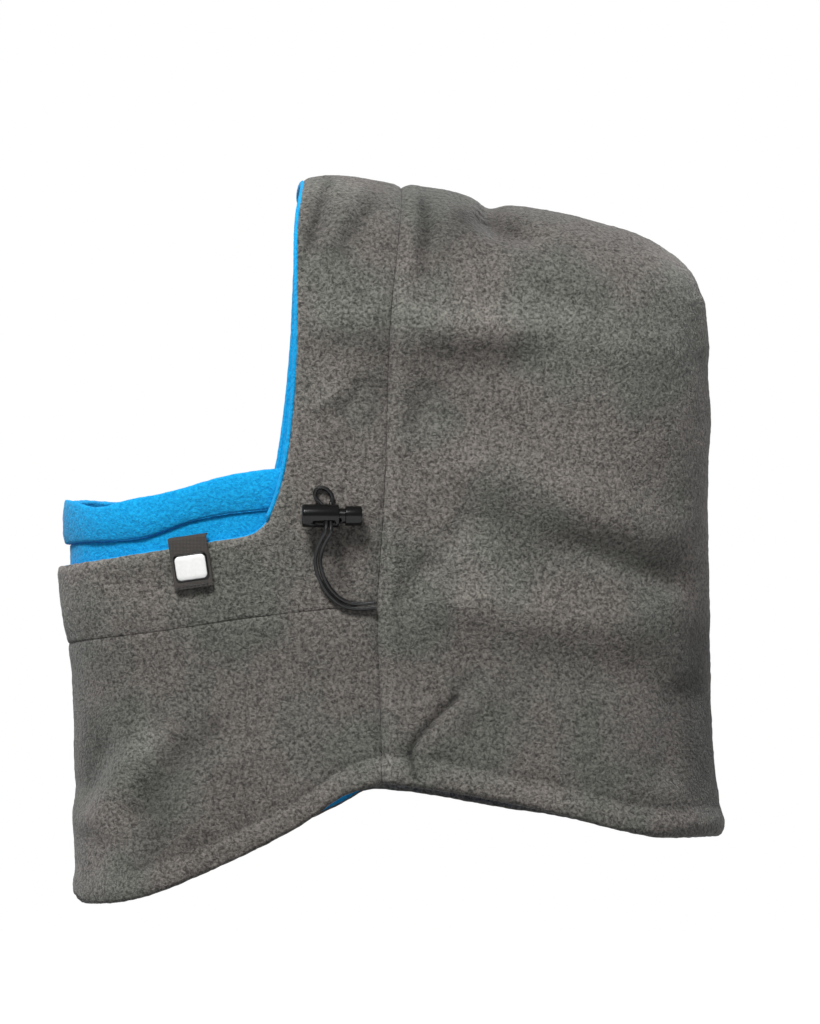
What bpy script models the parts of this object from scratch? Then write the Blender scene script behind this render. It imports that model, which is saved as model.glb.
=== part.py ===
"""A two-layer fleece balaclava with an inner mouth mask and a drawcord with a sprung cord lock.

The hood is shaped as worn, facing -X, with the wearer's left side at -Y. The origin is the middle of the
head space. Each cloth panel is a grid of points laid out in the side view, given its height off the centre
plane by the hood's form, and thickened inwards along the form's own normals.
"""

import math

import bmesh
import bpy
import numpy as np

# Hood form: half width of the shell and how far in from each closed outline it rounds over
HALF_WIDTH = 0.078
CROWN_DEPTH = 0.080
BACK_DEPTH = 0.092
FRONT_DEPTH = 0.075
ROUNDING_POWER = 2.15
CENTRE_SNAP = 0.0040
FRONT_TAPER = 0.20
NECK_PINCH = 0.10
HEM_FLARE = 0.15

# Cloth layers, measured inwards from the hood form
OUTER_THICKNESS = 0.0022
LINING_DEPTH = 0.0030
LINING_THICKNESS = 0.0018
CUFF_DEPTH = 0.0078
CUFF_THICKNESS = 0.0034
MASK_DEPTH = 0.0086
MASK_THICKNESS = 0.0018
SEAM_GAP = 0.0004
BINDING_WIDTH = 0.0016

# Grid rows and columns of the panels
FACE_COLUMNS = 4
FACE_ROWS = 9
MOUTH_COLUMNS = 8
BIB_ROWS = 6
REAR_COLUMNS = 9

# Side-view outlines (x, z), each through only the points that its shape needs
CROWN_FRONT = [(-0.1075, 0.1188), (-0.0919, 0.1210), (-0.0737, 0.1192), (-0.0535, 0.1161)]
CROWN_REAR = [
    (-0.0535, 0.1161),
    (-0.0340, 0.1145),
    (-0.0178, 0.1102),
    (-0.0065, 0.1046),
    (0.0050, 0.1050),
    (0.0405, 0.0999),
    (0.0778, 0.0875),
    (0.0960, 0.0770),
]
BACK = [
    (0.1183, -0.2360),
    (0.1205, -0.2306),
    (0.1170, -0.2050),
    (0.1134, -0.1534),
    (0.1131, -0.0540),
    (0.1131, 0.0000),
    (0.1112, 0.0373),
    (0.1085, 0.0583),
    (0.1040, 0.0690),
    (0.0960, 0.0770),
]
SIDE_SEAM_UPPER = [(-0.0698, -0.1121), (-0.0657, -0.0471), (-0.0628, 0.0395), (-0.0535, 0.1161)]
SIDE_SEAM_LOWER = [(-0.0679, -0.2075), (-0.0681, -0.1640), (-0.0698, -0.1121)]
REAR_HEM = [(-0.0679, -0.2075), (-0.0280, -0.2130), (0.0243, -0.2238), (0.0745, -0.2360), (0.1183, -0.2360)]
BIB_HEM = [
    (-0.2303, -0.2665),
    (-0.2256, -0.2711),
    (-0.2017, -0.2701),
    (-0.1582, -0.2538),
    (-0.1126, -0.2307),
    (-0.0883, -0.2140),
    (-0.0679, -0.2075),
]
BIB_FRONT = [(-0.2303, -0.2665), (-0.2290, -0.2510), (-0.2300, -0.2128), (-0.2302, -0.1620), (-0.2332, -0.1320)]
MOUTH_FRONT = [(-0.2332, -0.1320), (-0.2364, -0.1183), (-0.2402, -0.0902)]
STITCH_LINE = [(-0.2332, -0.1320), (-0.1837, -0.1262), (-0.1382, -0.1195), (-0.0698, -0.1121)]
MOUTH_EDGE = [
    (-0.2402, -0.0902),
    (-0.2127, -0.0866),
    (-0.1612, -0.0785),
    (-0.1365, -0.0737),
    (-0.1288, -0.0669),
]
FACE_EDGE = [
    (-0.1288, -0.0669),
    (-0.1232, -0.0522),
    (-0.1185, -0.0306),
    (-0.1154, 0.0007),
    (-0.1143, 0.0282),
    (-0.1128, 0.0952),
    (-0.1075, 0.1188),
]
CHEEK_LINE = [(-0.1288, -0.0669), (-0.0698, -0.1121)]

# Mouth mask
MASK_TOP = [
    (-0.2414, -0.0525),
    (-0.1949, -0.0533),
    (-0.1464, -0.0415),
    (-0.1041, -0.0370),
    (-0.0802, -0.0361),
]
CUFF_FOOT = [
    (-0.2405, -0.0790),
    (-0.1974, -0.0771),
    (-0.1652, -0.0670),
    (-0.1139, -0.0610),
    (-0.0802, -0.0600),
]
MASK_FOOT = [(-0.2366, -0.1160), (-0.1600, -0.1120), (-0.0802, -0.1060)]
CUFF_GAP = 0.0004
MASK_COLUMNS = 12

# Drawcord: side-view route of the doubled cord from the side seam to the lock, and height off the cloth
CORD_DIAMETER = 0.0022
STRAND_SPACING = 0.0026
CORD_CLEARANCE = 0.0011
CORD_ROUTE = [
    (-0.0711, 0.0000, -0.1123),
    (-0.0786, 0.0000, -0.1130),
    (-0.0852, 0.0000, -0.1124),
    (-0.0912, 0.0000, -0.1095),
    (-0.0964, 0.0008, -0.1042),
    (-0.1002, 0.0020, -0.0975),
    (-0.1023, 0.0060, -0.0900),
    (-0.1017, 0.0112, -0.0833),
    (-0.0994, 0.0146, -0.0776),
]

# Cord lock: a sprung barrel toggle, its axis along X and its cord hole tilted down and away from the cloth
LOCK_X = -0.0971
LOCK_Z = -0.0649
LOCK_STANDOFF = 0.0098
HOLE_TILT = math.radians(50)
BARREL_FRONT = LOCK_X - 0.0139
BARREL_REAR = LOCK_X + 0.0058
BARREL_RADIUS = 0.0062
BORE_RADIUS = 0.0044
BARREL_END_WALL = 0.0016
PLUNGER_RADIUS = 0.0041
PLUNGER_FRONT = LOCK_X - 0.0058
HEAD_FRONT = LOCK_X + 0.0093
HEAD_REAR = LOCK_X + 0.0182
HEAD_RADIUS = 0.0053
PRESS_TRAVEL = 0.0030
HOLE_LENGTH = 0.0056
HOLE_WIDTH = 0.0030
STRAIGHT_STRETCH = 0.0036
LOOP_SIDE = 0.0046
LOOP_LEAN = 0.30
LOOP_START = 0.0004
SPRING_WIRE = 0.0006
SPRING_RADIUS = 0.0028
SPRING_TURNS = 4.5

# Label on the mouth edge
LABEL_CENTRE = (-0.1695, -0.0893)
LABEL_WIDTH = 0.0210
LABEL_HEIGHT = 0.0275
LABEL_THICKNESS = 0.0008
LABEL_TILT = math.radians(-8)
LABEL_STANDOFF = 0.0011
PATCH_WIDTH = 0.0165
PATCH_HEIGHT = 0.0130
PATCH_THICKNESS = 0.0014
PATCH_CORNER = 0.0022
PATCH_DROP = 0.0026
PATCH_TAPER = 0.94
PATCH_GAP = 0.0003

# Hidden elastic along the side seams, and the tunnel that holds it
ELASTIC_DIAMETER = 0.0026
ELASTIC_DEPTH = 0.0073
TUNNEL_DEPTH = 0.0056
TUNNEL_HALF_WIDTH = 0.0042
TUNNEL_WALL = 0.0006

SIDES = {"left": -1.0, "right": 1.0}


# ---------------------------------------------------------------- curves and form


def smooth(points, per_span=24):
    """A dense centripetal Catmull-Rom curve through the points."""
    p = np.array(points, float)
    p = np.vstack([2 * p[0] - p[1], p, 2 * p[-1] - p[-2]])
    curve = []
    for a, b, c, d in zip(p[:-3], p[1:-2], p[2:-1], p[3:]):
        t1 = np.linalg.norm(b - a) ** 0.5
        t2 = t1 + np.linalg.norm(c - b) ** 0.5
        t3 = t2 + np.linalg.norm(d - c) ** 0.5
        t = np.linspace(t1, t2, per_span, endpoint=False)[:, None]
        ab = a + (b - a) * t / t1
        bc = b + (c - b) * (t - t1) / (t2 - t1)
        cd = c + (d - c) * (t - t2) / (t3 - t2)
        abc = ab + (bc - ab) * t / t2
        bcd = bc + (cd - bc) * (t - t1) / (t3 - t1)
        curve.append(abc + (bcd - abc) * (t - t1) / (t2 - t1))
    return np.vstack(curve + [p[-2:-1]])


def along(curve, fractions):
    """Points of a dense curve at fractions of its length."""
    steps = np.linalg.norm(np.diff(curve, axis=0), axis=1)
    run = np.concatenate([[0], np.cumsum(steps)]) / steps.sum()
    return np.stack([np.interp(fractions, run, curve[:, k]) for k in range(curve.shape[1])], axis=1)


def even(count):
    return np.linspace(0, 1, count + 1)


def crowd_end(count):
    """Fractions that crowd towards 1, for a side that rounds over at its end."""
    return np.sin(np.linspace(0, math.pi / 2, count + 1))


def crowd_start(count):
    return 1 - crowd_end(count)[::-1]


OUTLINE_TOP = np.vstack([smooth(CROWN_FRONT), smooth(CROWN_REAR), smooth(BACK)[::-1]])
FRONT_LINE = np.vstack([smooth(BIB_FRONT), smooth(MOUTH_FRONT), [(-0.2414, -0.0500), (-0.2418, 0.2000)]])


def height_of_crown(x):
    rising = OUTLINE_TOP[: int(np.argmax(OUTLINE_TOP[:, 0])) + 1]
    return np.interp(x, np.maximum.accumulate(rising[:, 0]), rising[:, 1])


def reach_of_back(z):
    climbing = OUTLINE_TOP[::-1]
    return np.interp(z, np.maximum.accumulate(climbing[:, 1]), climbing[:, 0])


def reach_of_front(z):
    return np.interp(z, np.maximum.accumulate(FRONT_LINE[:, 1]), FRONT_LINE[:, 0])


def step_up(t):
    t = np.clip(t, 0, 1)
    return t * t * (3 - 2 * t)


def half_width(x, z):
    """Half width of the hood where no closed outline is near."""
    taper = 1 - FRONT_TAPER * step_up((-0.040 - x) / 0.190)
    pinch = 1 - NECK_PINCH * np.exp(-(((z + 0.125) / 0.060) ** 2))
    flare = 1 + HEM_FLARE * step_up((-0.140 - z) / 0.110)
    return HALF_WIDTH * taper * pinch * flare


def inward_share(x, z):
    """0 on a closed outline, 1 where the form has finished rounding over, below 0 outside."""
    shares = np.stack([
        (height_of_crown(x) - z) / CROWN_DEPTH,
        (reach_of_back(z) - x) / BACK_DEPTH,
        (x - reach_of_front(z)) / FRONT_DEPTH,
    ])
    joint = np.sum(np.maximum(shares, 1e-5) ** -2.0, axis=0) ** -0.5
    return np.where(shares.min(axis=0) > 0, joint, shares.min(axis=0))


def form_height(x, z):
    """Distance of the hood form from the centre plane."""
    left_over = np.clip(1 - inward_share(x, z), 0, 1)
    return half_width(x, z) * (1 - left_over**ROUNDING_POWER) ** (1 / ROUNDING_POWER)


def form_value(x, y, z):
    left_over = np.maximum(1 - inward_share(x, z), 0)
    return (np.abs(y) / half_width(x, z)) ** ROUNDING_POWER + left_over**ROUNDING_POWER


def form_normals(points, side):
    """Outward unit normals of the form at points on it."""
    x, y, z = points.T
    y = side * np.maximum(side * y, 1e-5)
    h = 2e-4
    gradient = np.stack([
        form_value(x + h, y, z) - form_value(x - h, y, z),
        form_value(x, y + h, z) - form_value(x, y - h, z),
        form_value(x, y, z + h) - form_value(x, y, z - h),
    ], axis=1)
    return gradient / np.linalg.norm(gradient, axis=1)[:, None]


def on_form(x, z, side):
    """Points on the form, with those that all but reach the centre plane put on it."""
    height = form_height(x, z)
    return np.stack([x, side * np.where(height < CENTRE_SNAP, 0, height), z], axis=-1)


# ---------------------------------------------------------------- panel grids


def coons(bottom, top, left, right, us, vs):
    """A grid of side-view points between four curves that meet at the corners."""
    low, high = along(bottom, us)[None], along(top, us)[None]
    start, end = along(left, vs)[:, None], along(right, vs)[:, None]
    u, v = us[None, :, None], vs[:, None, None]
    flat = (1 - v) * low + v * high + (1 - u) * start + u * end
    corners = (1 - v) * ((1 - u) * low[:, :1] + u * low[:, -1:]) + v * ((1 - u) * high[:, :1] + u * high[:, -1:])
    return flat - corners


def face_grids():
    cheek = smooth(CHEEK_LINE)
    face = coons(cheek, smooth(CROWN_FRONT), smooth(FACE_EDGE), smooth(SIDE_SEAM_UPPER),
                 even(FACE_COLUMNS), crowd_end(FACE_ROWS))
    mouth = coons(smooth(STITCH_LINE), smooth(MOUTH_EDGE), smooth(MOUTH_FRONT), cheek[::-1],
                  crowd_start(MOUTH_COLUMNS), even(FACE_COLUMNS))
    return [face, mouth]


def bib_grids():
    return [coons(smooth(BIB_HEM), smooth(STITCH_LINE), smooth(BIB_FRONT), smooth(SIDE_SEAM_LOWER),
                  crowd_start(MOUTH_COLUMNS), even(BIB_ROWS))]


def rear_grids():
    lower, upper = smooth(SIDE_SEAM_LOWER), smooth(SIDE_SEAM_UPPER)
    seam = np.vstack([along(lower, even(BIB_ROWS)), along(upper, crowd_end(FACE_ROWS))[1:]])
    steps = np.linalg.norm(np.diff(seam, axis=0), axis=1)
    rows = np.concatenate([[0], np.cumsum(steps)]) / steps.sum()
    return [coons(smooth(REAR_HEM), smooth(CROWN_REAR), np.vstack([lower, upper[1:]]), smooth(BACK),
                  crowd_end(REAR_COLUMNS), rows)]


def from_front(points, dz=0.0):
    """A side-view curve through the points, raised by dz, whose first point is put on the closed front."""
    raised = [(x, z + dz) for x, z in points]
    return smooth([(float(reach_of_front(raised[0][1])), raised[0][1])] + raised[1:])


def mask_grids(foot, top, rows):
    heights = np.linspace(foot[0][1], top[0][1], 12)
    front = np.stack([reach_of_front(heights), heights], axis=1)
    end = np.array([foot[-1], top[-1]])
    return [coons(foot, top, front, end, crowd_start(MASK_COLUMNS), even(rows))]


# ---------------------------------------------------------------- meshes


def link(name, mesh, colour, roughness, metallic=0.0):
    obj = bpy.data.objects.new(name, mesh)
    bpy.context.scene.collection.objects.link(obj)
    material = bpy.data.materials.get(name) or bpy.data.materials.new(name)
    material.use_nodes = True
    shader = material.node_tree.nodes["Principled BSDF"]
    shader.inputs["Base Color"].default_value = (*colour, 1)
    shader.inputs["Roughness"].default_value = roughness
    shader.inputs["Metallic"].default_value = metallic
    mesh.materials.append(material)
    return obj


def finish_mesh(bm, name):
    bmesh.ops.recalc_face_normals(bm, faces=bm.faces)
    mesh = bpy.data.meshes.new(name)
    bm.to_mesh(mesh)
    bm.free()
    mesh.shade_smooth()
    mesh.set_sharp_from_angle(angle=math.radians(40))
    return mesh


def sheet_mesh(grids, sides):
    """One open sheet on the form from side-view grids, for one side or both.

    Every layer splits its quads the same way, so that layers at different depths stay parallel.
    """
    bm = bmesh.new()
    for side in sides:
        for grid in grids:
            points = on_form(grid[..., 0], grid[..., 1], side)
            verts = [[bm.verts.new(p) for p in row] for row in points]
            for low, high in zip(verts, verts[1:]):
                for a, b, c, d in zip(low, low[1:], high[1:], high):
                    bm.faces.new((a, b, c))
                    bm.faces.new((a, c, d))
    bmesh.ops.remove_doubles(bm, verts=bm.verts, dist=2e-5)
    return bm


def trim_edges(bm, gap):
    """Draws the sheet's border in by half the seam gap, so that neighbouring panels don't touch."""
    pulls = {}
    for edge in bm.edges:
        if not edge.is_boundary:
            continue
        a, b = edge.verts
        direction = (b.co - a.co).normalized()
        inward = edge.link_faces[0].calc_center_median() - (a.co + b.co) / 2
        inward = (inward - direction * inward.dot(direction)).normalized()
        for vert in edge.verts:
            pulls.setdefault(vert, []).append(inward)
    for vert, (first, second) in pulls.items():
        vert.co += (first + second) * (gap / 2) / max(1 + first.dot(second), 0.5)


def thicken(bm, depth, thickness):
    """Turns the open sheet into a closed one that lies between two depths under the form."""
    bm.verts.index_update()
    old = list(bm.verts)
    points = np.array([v.co[:] for v in old])
    side = np.where(points[:, 1] < 0, -1.0, 1.0)
    normals = form_normals(points, side)
    normals[np.abs(points[:, 1]) < 1e-6, 1] = 0
    faces = [[v.index for v in f.verts] for f in bm.faces]
    border = [[v.index for v in e.verts] for e in bm.edges if e.is_boundary]
    for vert, point, normal in zip(old, points, normals):
        vert.co = point - normal * depth
    inner = [bm.verts.new(p - n * (depth + thickness)) for p, n in zip(points, normals)]
    for face in faces:
        bm.faces.new([inner[i] for i in reversed(face)])
    for a, b in border:
        bm.faces.new((old[a], old[b], inner[b], inner[a]))


def cloth(name, grids, sides, depth, thickness, colour, gap=SEAM_GAP):
    bm = sheet_mesh(grids, sides)
    trim_edges(bm, gap)
    thicken(bm, depth, thickness)
    return link(name, finish_mesh(bm, name), colour, 0.95)


def lathe(name, profile, steps):
    """A solid turned about X from (x, radius) points that start and end on the axis."""
    bm = bmesh.new()
    verts = [bm.verts.new((x, 0, r)) for x, r in profile]
    edges = [bm.edges.new(pair) for pair in zip(verts, verts[1:])]
    bmesh.ops.spin(bm, geom=verts + edges, cent=(0, 0, 0), axis=(1, 0, 0), angle=2 * math.pi, steps=steps)
    bmesh.ops.remove_doubles(bm, verts=bm.verts, dist=1e-6)
    return finish_mesh(bm, name)


def hole_cutter(name, low_x, high_x, centre):
    """A slot with round ends, long along X, that runs along the tilted cord hole."""
    radius = HOLE_WIDTH / 2
    arc = np.linspace(-math.pi / 2, math.pi / 2, 6)
    ends = [(high_x - radius + radius * math.cos(a), radius * math.sin(a)) for a in arc]
    ends += [(low_x + radius - radius * math.cos(a), -radius * math.sin(a)) for a in arc]
    bm = bmesh.new()
    across = np.array([0, math.cos(HOLE_TILT), -math.sin(HOLE_TILT)])
    base = [np.array([x, 0, 0]) + across * s - HOLE_DIRECTION * 0.02 for x, s in ends]
    face = bm.faces.new([bm.verts.new(p) for p in base])
    top = bmesh.ops.extrude_face_region(bm, geom=[face])
    moved = [v for v in top["geom"] if isinstance(v, bmesh.types.BMVert)]
    bmesh.ops.translate(bm, verts=moved, vec=HOLE_DIRECTION * 0.04)
    cutter = bpy.data.objects.new(name, finish_mesh(bm, name))
    bpy.context.scene.collection.objects.link(cutter)
    cutter.location = centre
    cutter.hide_render = True
    cutter.display_type = "WIRE"
    return cutter


def cut(obj, cutter):
    modifier = obj.modifiers.new("cord_hole", "BOOLEAN")
    modifier.operation = "DIFFERENCE"
    modifier.object = cutter


def tube(name, points, diameter, colour, roughness, resolution=2):
    """A round cord along the points, closed at both ends."""
    curve = bpy.data.curves.new(name, "CURVE")
    curve.dimensions = "3D"
    spline = curve.splines.new("POLY")
    spline.points.add(len(points) - 1)
    for point, co in zip(spline.points, points):
        point.co = (*co, 1)
    curve.bevel_depth = diameter / 2
    curve.bevel_resolution = resolution
    curve.use_fill_caps = True
    return link(name, curve, colour, roughness)


# ---------------------------------------------------------------- the pieces

GREY = (0.125, 0.120, 0.110)
BLUE = (0.010, 0.330, 0.800)
BLACK = (0.012, 0.012, 0.012)
TAUPE = (0.110, 0.090, 0.075)
OFF_WHITE = (0.700, 0.700, 0.680)
STEEL = (0.500, 0.500, 0.500)

HOLE_DIRECTION = np.array([0, -math.sin(HOLE_TILT), -math.cos(HOLE_TILT)])
LOCK_CENTRE = np.array([
    LOCK_X,
    -float(form_height(np.array(LOCK_X), np.array(LOCK_Z))) - LOCK_STANDOFF,
    LOCK_Z,
])


def make_panels():
    for name, side in SIDES.items():
        cloth(f"rear_panel_{name}", rear_grids(), [side], 0, OUTER_THICKNESS, GREY)
        cloth(f"face_panel_{name}", face_grids(), [side], 0, OUTER_THICKNESS, GREY)
        cloth(f"bib_panel_{name}", bib_grids(), [side], 0, OUTER_THICKNESS, GREY)
        cloth(f"lining_rear_{name}", rear_grids(), [side], LINING_DEPTH, LINING_THICKNESS, BLUE)
        cloth(f"lining_front_{name}", face_grids() + bib_grids(), [side], LINING_DEPTH, LINING_THICKNESS, BLUE)


def make_binding():
    """The folded strip round the face opening, just in front of the panels' edges."""
    edge = along(smooth(FACE_EDGE), crowd_end(FACE_ROWS))
    near = edge - np.array([SEAM_GAP, 0])
    far = edge - np.array([SEAM_GAP + BINDING_WIDTH, 0])
    grid = np.stack([far, near], axis=1)
    depth = -0.0002
    bm = sheet_mesh([grid], SIDES.values())
    thicken(bm, depth, LINING_DEPTH + LINING_THICKNESS - depth)
    link("face_binding", finish_mesh(bm, "face_binding"), BLUE, 0.9)


def make_mask():
    cuff = mask_grids(from_front(CUFF_FOOT), from_front(MASK_TOP), 2)
    cloth("mask_cuff", cuff, SIDES.values(), CUFF_DEPTH, CUFF_THICKNESS, BLUE, gap=0)
    body = mask_grids(from_front(MASK_FOOT), from_front(CUFF_FOOT, -CUFF_GAP), 3)
    cloth("mask_tube", body, SIDES.values(), MASK_DEPTH, MASK_THICKNESS, BLUE, gap=0)


def make_lock():
    chamfer = 0.0010
    barrel = lathe("lock_barrel", [
        (BARREL_FRONT, 0),
        (BARREL_FRONT, BARREL_RADIUS - chamfer),
        (BARREL_FRONT + chamfer, BARREL_RADIUS),
        (BARREL_REAR - chamfer / 2, BARREL_RADIUS),
        (BARREL_REAR, BARREL_RADIUS - chamfer / 2),
        (BARREL_REAR, BORE_RADIUS),
        (BARREL_FRONT + BARREL_END_WALL, BORE_RADIUS),
        (BARREL_FRONT + BARREL_END_WALL, 0),
    ], 24)
    plunger = lathe("lock_plunger", [
        (PLUNGER_FRONT, 0),
        (PLUNGER_FRONT, PLUNGER_RADIUS),
        (HEAD_FRONT, PLUNGER_RADIUS),
        (HEAD_FRONT, HEAD_RADIUS),
        (HEAD_REAR - chamfer, HEAD_RADIUS),
        (HEAD_REAR, HEAD_RADIUS - chamfer),
        (HEAD_REAR, 0),
    ], 20)
    centre = (0, LOCK_CENTRE[1], LOCK_CENTRE[2])
    half = HOLE_LENGTH / 2
    for name, mesh, extra in (("lock_barrel", barrel, 0), ("lock_plunger", plunger, PRESS_TRAVEL)):
        obj = link(name, mesh, BLACK, 0.25)
        obj.location = centre
        cut(obj, hole_cutter(name + "_cutter", LOCK_X - half, LOCK_X + half + extra, centre))
    start = BARREL_FRONT + BARREL_END_WALL + 0.0003 + SPRING_WIRE / 2
    end = PLUNGER_FRONT - 0.0003 - SPRING_WIRE / 2
    turn = np.linspace(0, 1, int(SPRING_TURNS * 12) + 1)
    angle = 2 * math.pi * SPRING_TURNS * turn
    coil = np.stack([
        start + (end - start) * turn,
        LOCK_CENTRE[1] + SPRING_RADIUS * np.cos(angle),
        LOCK_CENTRE[2] + SPRING_RADIUS * np.sin(angle),
    ], axis=1)
    tube("lock_spring", coil, SPRING_WIRE, STEEL, 0.3, resolution=1)


def lifted_route():
    """The doubled cord's middle line from the seam to the lock's mouth."""
    route = []
    for x, lift, z in CORD_ROUTE:
        height = float(form_height(np.array(x), np.array(z)))
        route.append((x, -height - CORD_DIAMETER / 2 - CORD_CLEARANCE - lift, z))
    mouth = LOCK_CENTRE + HOLE_DIRECTION * (BARREL_RADIUS + STRAIGHT_STRETCH)
    return np.vstack([route, mouth + np.array([-0.0006, -0.0006, -0.0032]), mouth])


def cord_loop():
    """The loop beyond the lock, which lies against the cloth and leans forward."""
    back = LOCK_CENTRE - HOLE_DIRECTION * (BARREL_RADIUS + LOOP_START)
    half = STRAND_SPACING / 2
    climb = [(half, 0.0, 0.0), (half + 0.0014, 0.0014, 0.0024), (LOOP_SIDE, 0.0024, 0.0063)]
    climb += [(0.7 * LOOP_SIDE, 0.0028, 0.0097), (0.0, 0.0029, 0.0111)]
    loop = [(-side, out, rise) for side, out, rise in climb] + climb[-2::-1]
    loop = np.array([back + (side - LOOP_LEAN * rise, out, rise) for side, out, rise in loop])
    cloth = -form_height(loop[:, 0], loop[:, 2]) - CORD_DIAMETER / 2 - CORD_CLEARANCE
    loop[:, 1] = np.minimum(loop[:, 1], cloth)
    return loop


def drawcord_points():
    """One cord: out of the seam, through the lock, round the loop and back into the seam."""
    route = smooth(lifted_route())
    middle = along(route, np.linspace(0, 1, 24))
    tangent = np.gradient(middle, axis=0)
    across = np.cross(tangent, (0, 1, 0))
    across /= np.linalg.norm(across, axis=1)[:, None]
    outer = middle + across * STRAND_SPACING / 2
    inner = middle - across * STRAND_SPACING / 2
    loop = cord_loop()
    path = np.vstack([outer, loop, inner[::-1]])
    return along(smooth(path, 8), np.linspace(0, 1, 78))


def make_label():
    """A folded woven tab over the mouth edge, with a plain moulded patch on it."""
    x, z = (np.array([c]) for c in LABEL_CENTRE)
    centre = on_form(x, z, -1.0)
    out = form_normals(centre, np.array([-1.0]))[0]
    up = np.array([math.sin(LABEL_TILT), 0, math.cos(LABEL_TILT)])
    up = up - out * up.dot(out)
    up /= np.linalg.norm(up)
    right = np.cross(up, out)
    origin = centre[0] + out * LABEL_STANDOFF
    top, fold = LABEL_HEIGHT / 2, LABEL_THICKNESS
    edge_depth = LABEL_STANDOFF + LINING_DEPTH + LINING_THICKNESS + 0.0005
    profile = [
        (-top, 0), (-top, fold), (top + fold, fold), (top + fold, -edge_depth),
        (top, -edge_depth), (top, 0),
    ]
    prism("label_tab", profile, LABEL_WIDTH, origin, up, out, right, TAUPE)
    base = origin + out * (fold + PATCH_GAP) - up * PATCH_DROP
    corner = PATCH_CORNER
    arc = np.linspace(0, math.pi / 2, 5)
    outline = []
    for sx, sy, turn in ((1, 1, 0), (-1, 1, 1), (-1, -1, 2), (1, -1, 3)):
        for a in arc + turn * math.pi / 2:
            outline.append((sx * (PATCH_WIDTH / 2 - corner) + corner * math.cos(a),
                            sy * (PATCH_HEIGHT / 2 - corner) + corner * math.sin(a)))
    bm = bmesh.new()
    rim = [bm.verts.new(base + right * a + up * b) for a, b in outline]
    raised = [bm.verts.new(base + (right * a + up * b) * PATCH_TAPER + out * PATCH_THICKNESS) for a, b in outline]
    bm.faces.new(rim[::-1])
    bm.faces.new(raised)
    for i, (a, b) in enumerate(zip(rim, rim[1:] + rim[:1])):
        bm.faces.new((a, b, raised[(i + 1) % len(raised)], raised[i]))
    link("label_patch", finish_mesh(bm, "label_patch"), OFF_WHITE, 0.5)


def prism(name, profile, width, origin, up, out, right, colour):
    """A constant profile (along up, along out) run across a width."""
    bm = bmesh.new()
    rows = []
    for s in (-width / 2, width / 2):
        rows.append([bm.verts.new(origin + up * a + out * b + right * s) for a, b in profile])
    bm.faces.new(rows[0])
    bm.faces.new(rows[1][::-1])
    count = len(profile)
    for i in range(count):
        j = (i + 1) % count
        bm.faces.new((rows[0][i], rows[1][i], rows[1][j], rows[0][j]))
    link(name, finish_mesh(bm, name), colour, 0.8)


def seam_line(depth, count):
    """A line under both side seams and over the crown, at one depth under the form."""
    upper = along(smooth(SIDE_SEAM_UPPER), crowd_end(count))
    left = on_form(upper[:, 0], upper[:, 1], -1.0)
    normals = form_normals(left, np.full(len(left), -1.0))
    normals[-1, 1] = 0
    normals[-1] /= np.linalg.norm(normals[-1])
    line, out = left - normals * depth, normals
    mirror = np.array([1, -1, 1])
    return np.vstack([line, line[-2::-1] * mirror]), np.vstack([out, out[-2::-1] * mirror])


def make_elastic():
    line, _ = seam_line(ELASTIC_DEPTH, FACE_ROWS)
    tube("hood_elastic", line, ELASTIC_DIAMETER, BLACK, 0.6)
    line, out = seam_line(TUNNEL_DEPTH, FACE_ROWS)
    forward = np.array([-1.0, 0, 0])
    arch = np.linspace(0, math.pi, 7)
    rise = ELASTIC_DEPTH - TUNNEL_DEPTH + ELASTIC_DIAMETER / 2 + 0.0004
    outside = [(TUNNEL_HALF_WIDTH * math.cos(a), -(rise + TUNNEL_WALL) * math.sin(a)) for a in arch]
    inside = [((TUNNEL_HALF_WIDTH - TUNNEL_WALL) * math.cos(a), -rise * math.sin(a)) for a in arch[::-1]]
    bm = bmesh.new()
    rings = []
    for point, normal in zip(line, out):
        across = forward - normal * forward.dot(normal)
        across /= np.linalg.norm(across)
        rings.append([bm.verts.new(point + across * a + normal * b) for a, b in outside + inside])
    for low, high in zip(rings, rings[1:]):
        for i in range(len(low)):
            j = (i + 1) % len(low)
            bm.faces.new((low[i], low[j], high[j], high[i]))
    bm.faces.new(rings[0][::-1])
    bm.faces.new(rings[-1])
    link("cord_tunnel", finish_mesh(bm, "cord_tunnel"), BLUE, 0.9)


def clear_scene():
    for obj in list(bpy.data.objects):
        bpy.data.objects.remove(obj, do_unlink=True)


def main():
    clear_scene()
    make_panels()
    make_binding()
    make_mask()
    make_lock()
    tube("drawcord", drawcord_points(), CORD_DIAMETER, BLACK, 0.4)
    make_label()
    make_elastic()


main()
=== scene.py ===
"""The looks of the fleece balaclava: cloth, mask, cord, lock and label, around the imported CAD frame."""

import math

import bmesh
import bpy
import numpy as np
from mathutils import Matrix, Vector, noise


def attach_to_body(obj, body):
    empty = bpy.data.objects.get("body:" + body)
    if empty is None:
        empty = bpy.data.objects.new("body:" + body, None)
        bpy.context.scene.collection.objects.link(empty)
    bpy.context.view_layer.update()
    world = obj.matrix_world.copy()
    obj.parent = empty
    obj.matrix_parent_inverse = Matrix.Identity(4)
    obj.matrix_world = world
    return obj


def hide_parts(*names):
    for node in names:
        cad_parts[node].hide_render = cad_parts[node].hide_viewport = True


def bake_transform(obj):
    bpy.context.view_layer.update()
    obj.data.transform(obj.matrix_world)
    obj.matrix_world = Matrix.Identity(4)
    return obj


# The hood form, as in the CAD: half width of the shell and how far in from each closed outline it rounds over
HALF_WIDTH = 0.078
CROWN_DEPTH = 0.080
BACK_DEPTH = 0.092
FRONT_DEPTH = 0.075
ROUNDING_POWER = 2.15
FRONT_TAPER = 0.20
NECK_PINCH = 0.10
HEM_FLARE = 0.15

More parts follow.
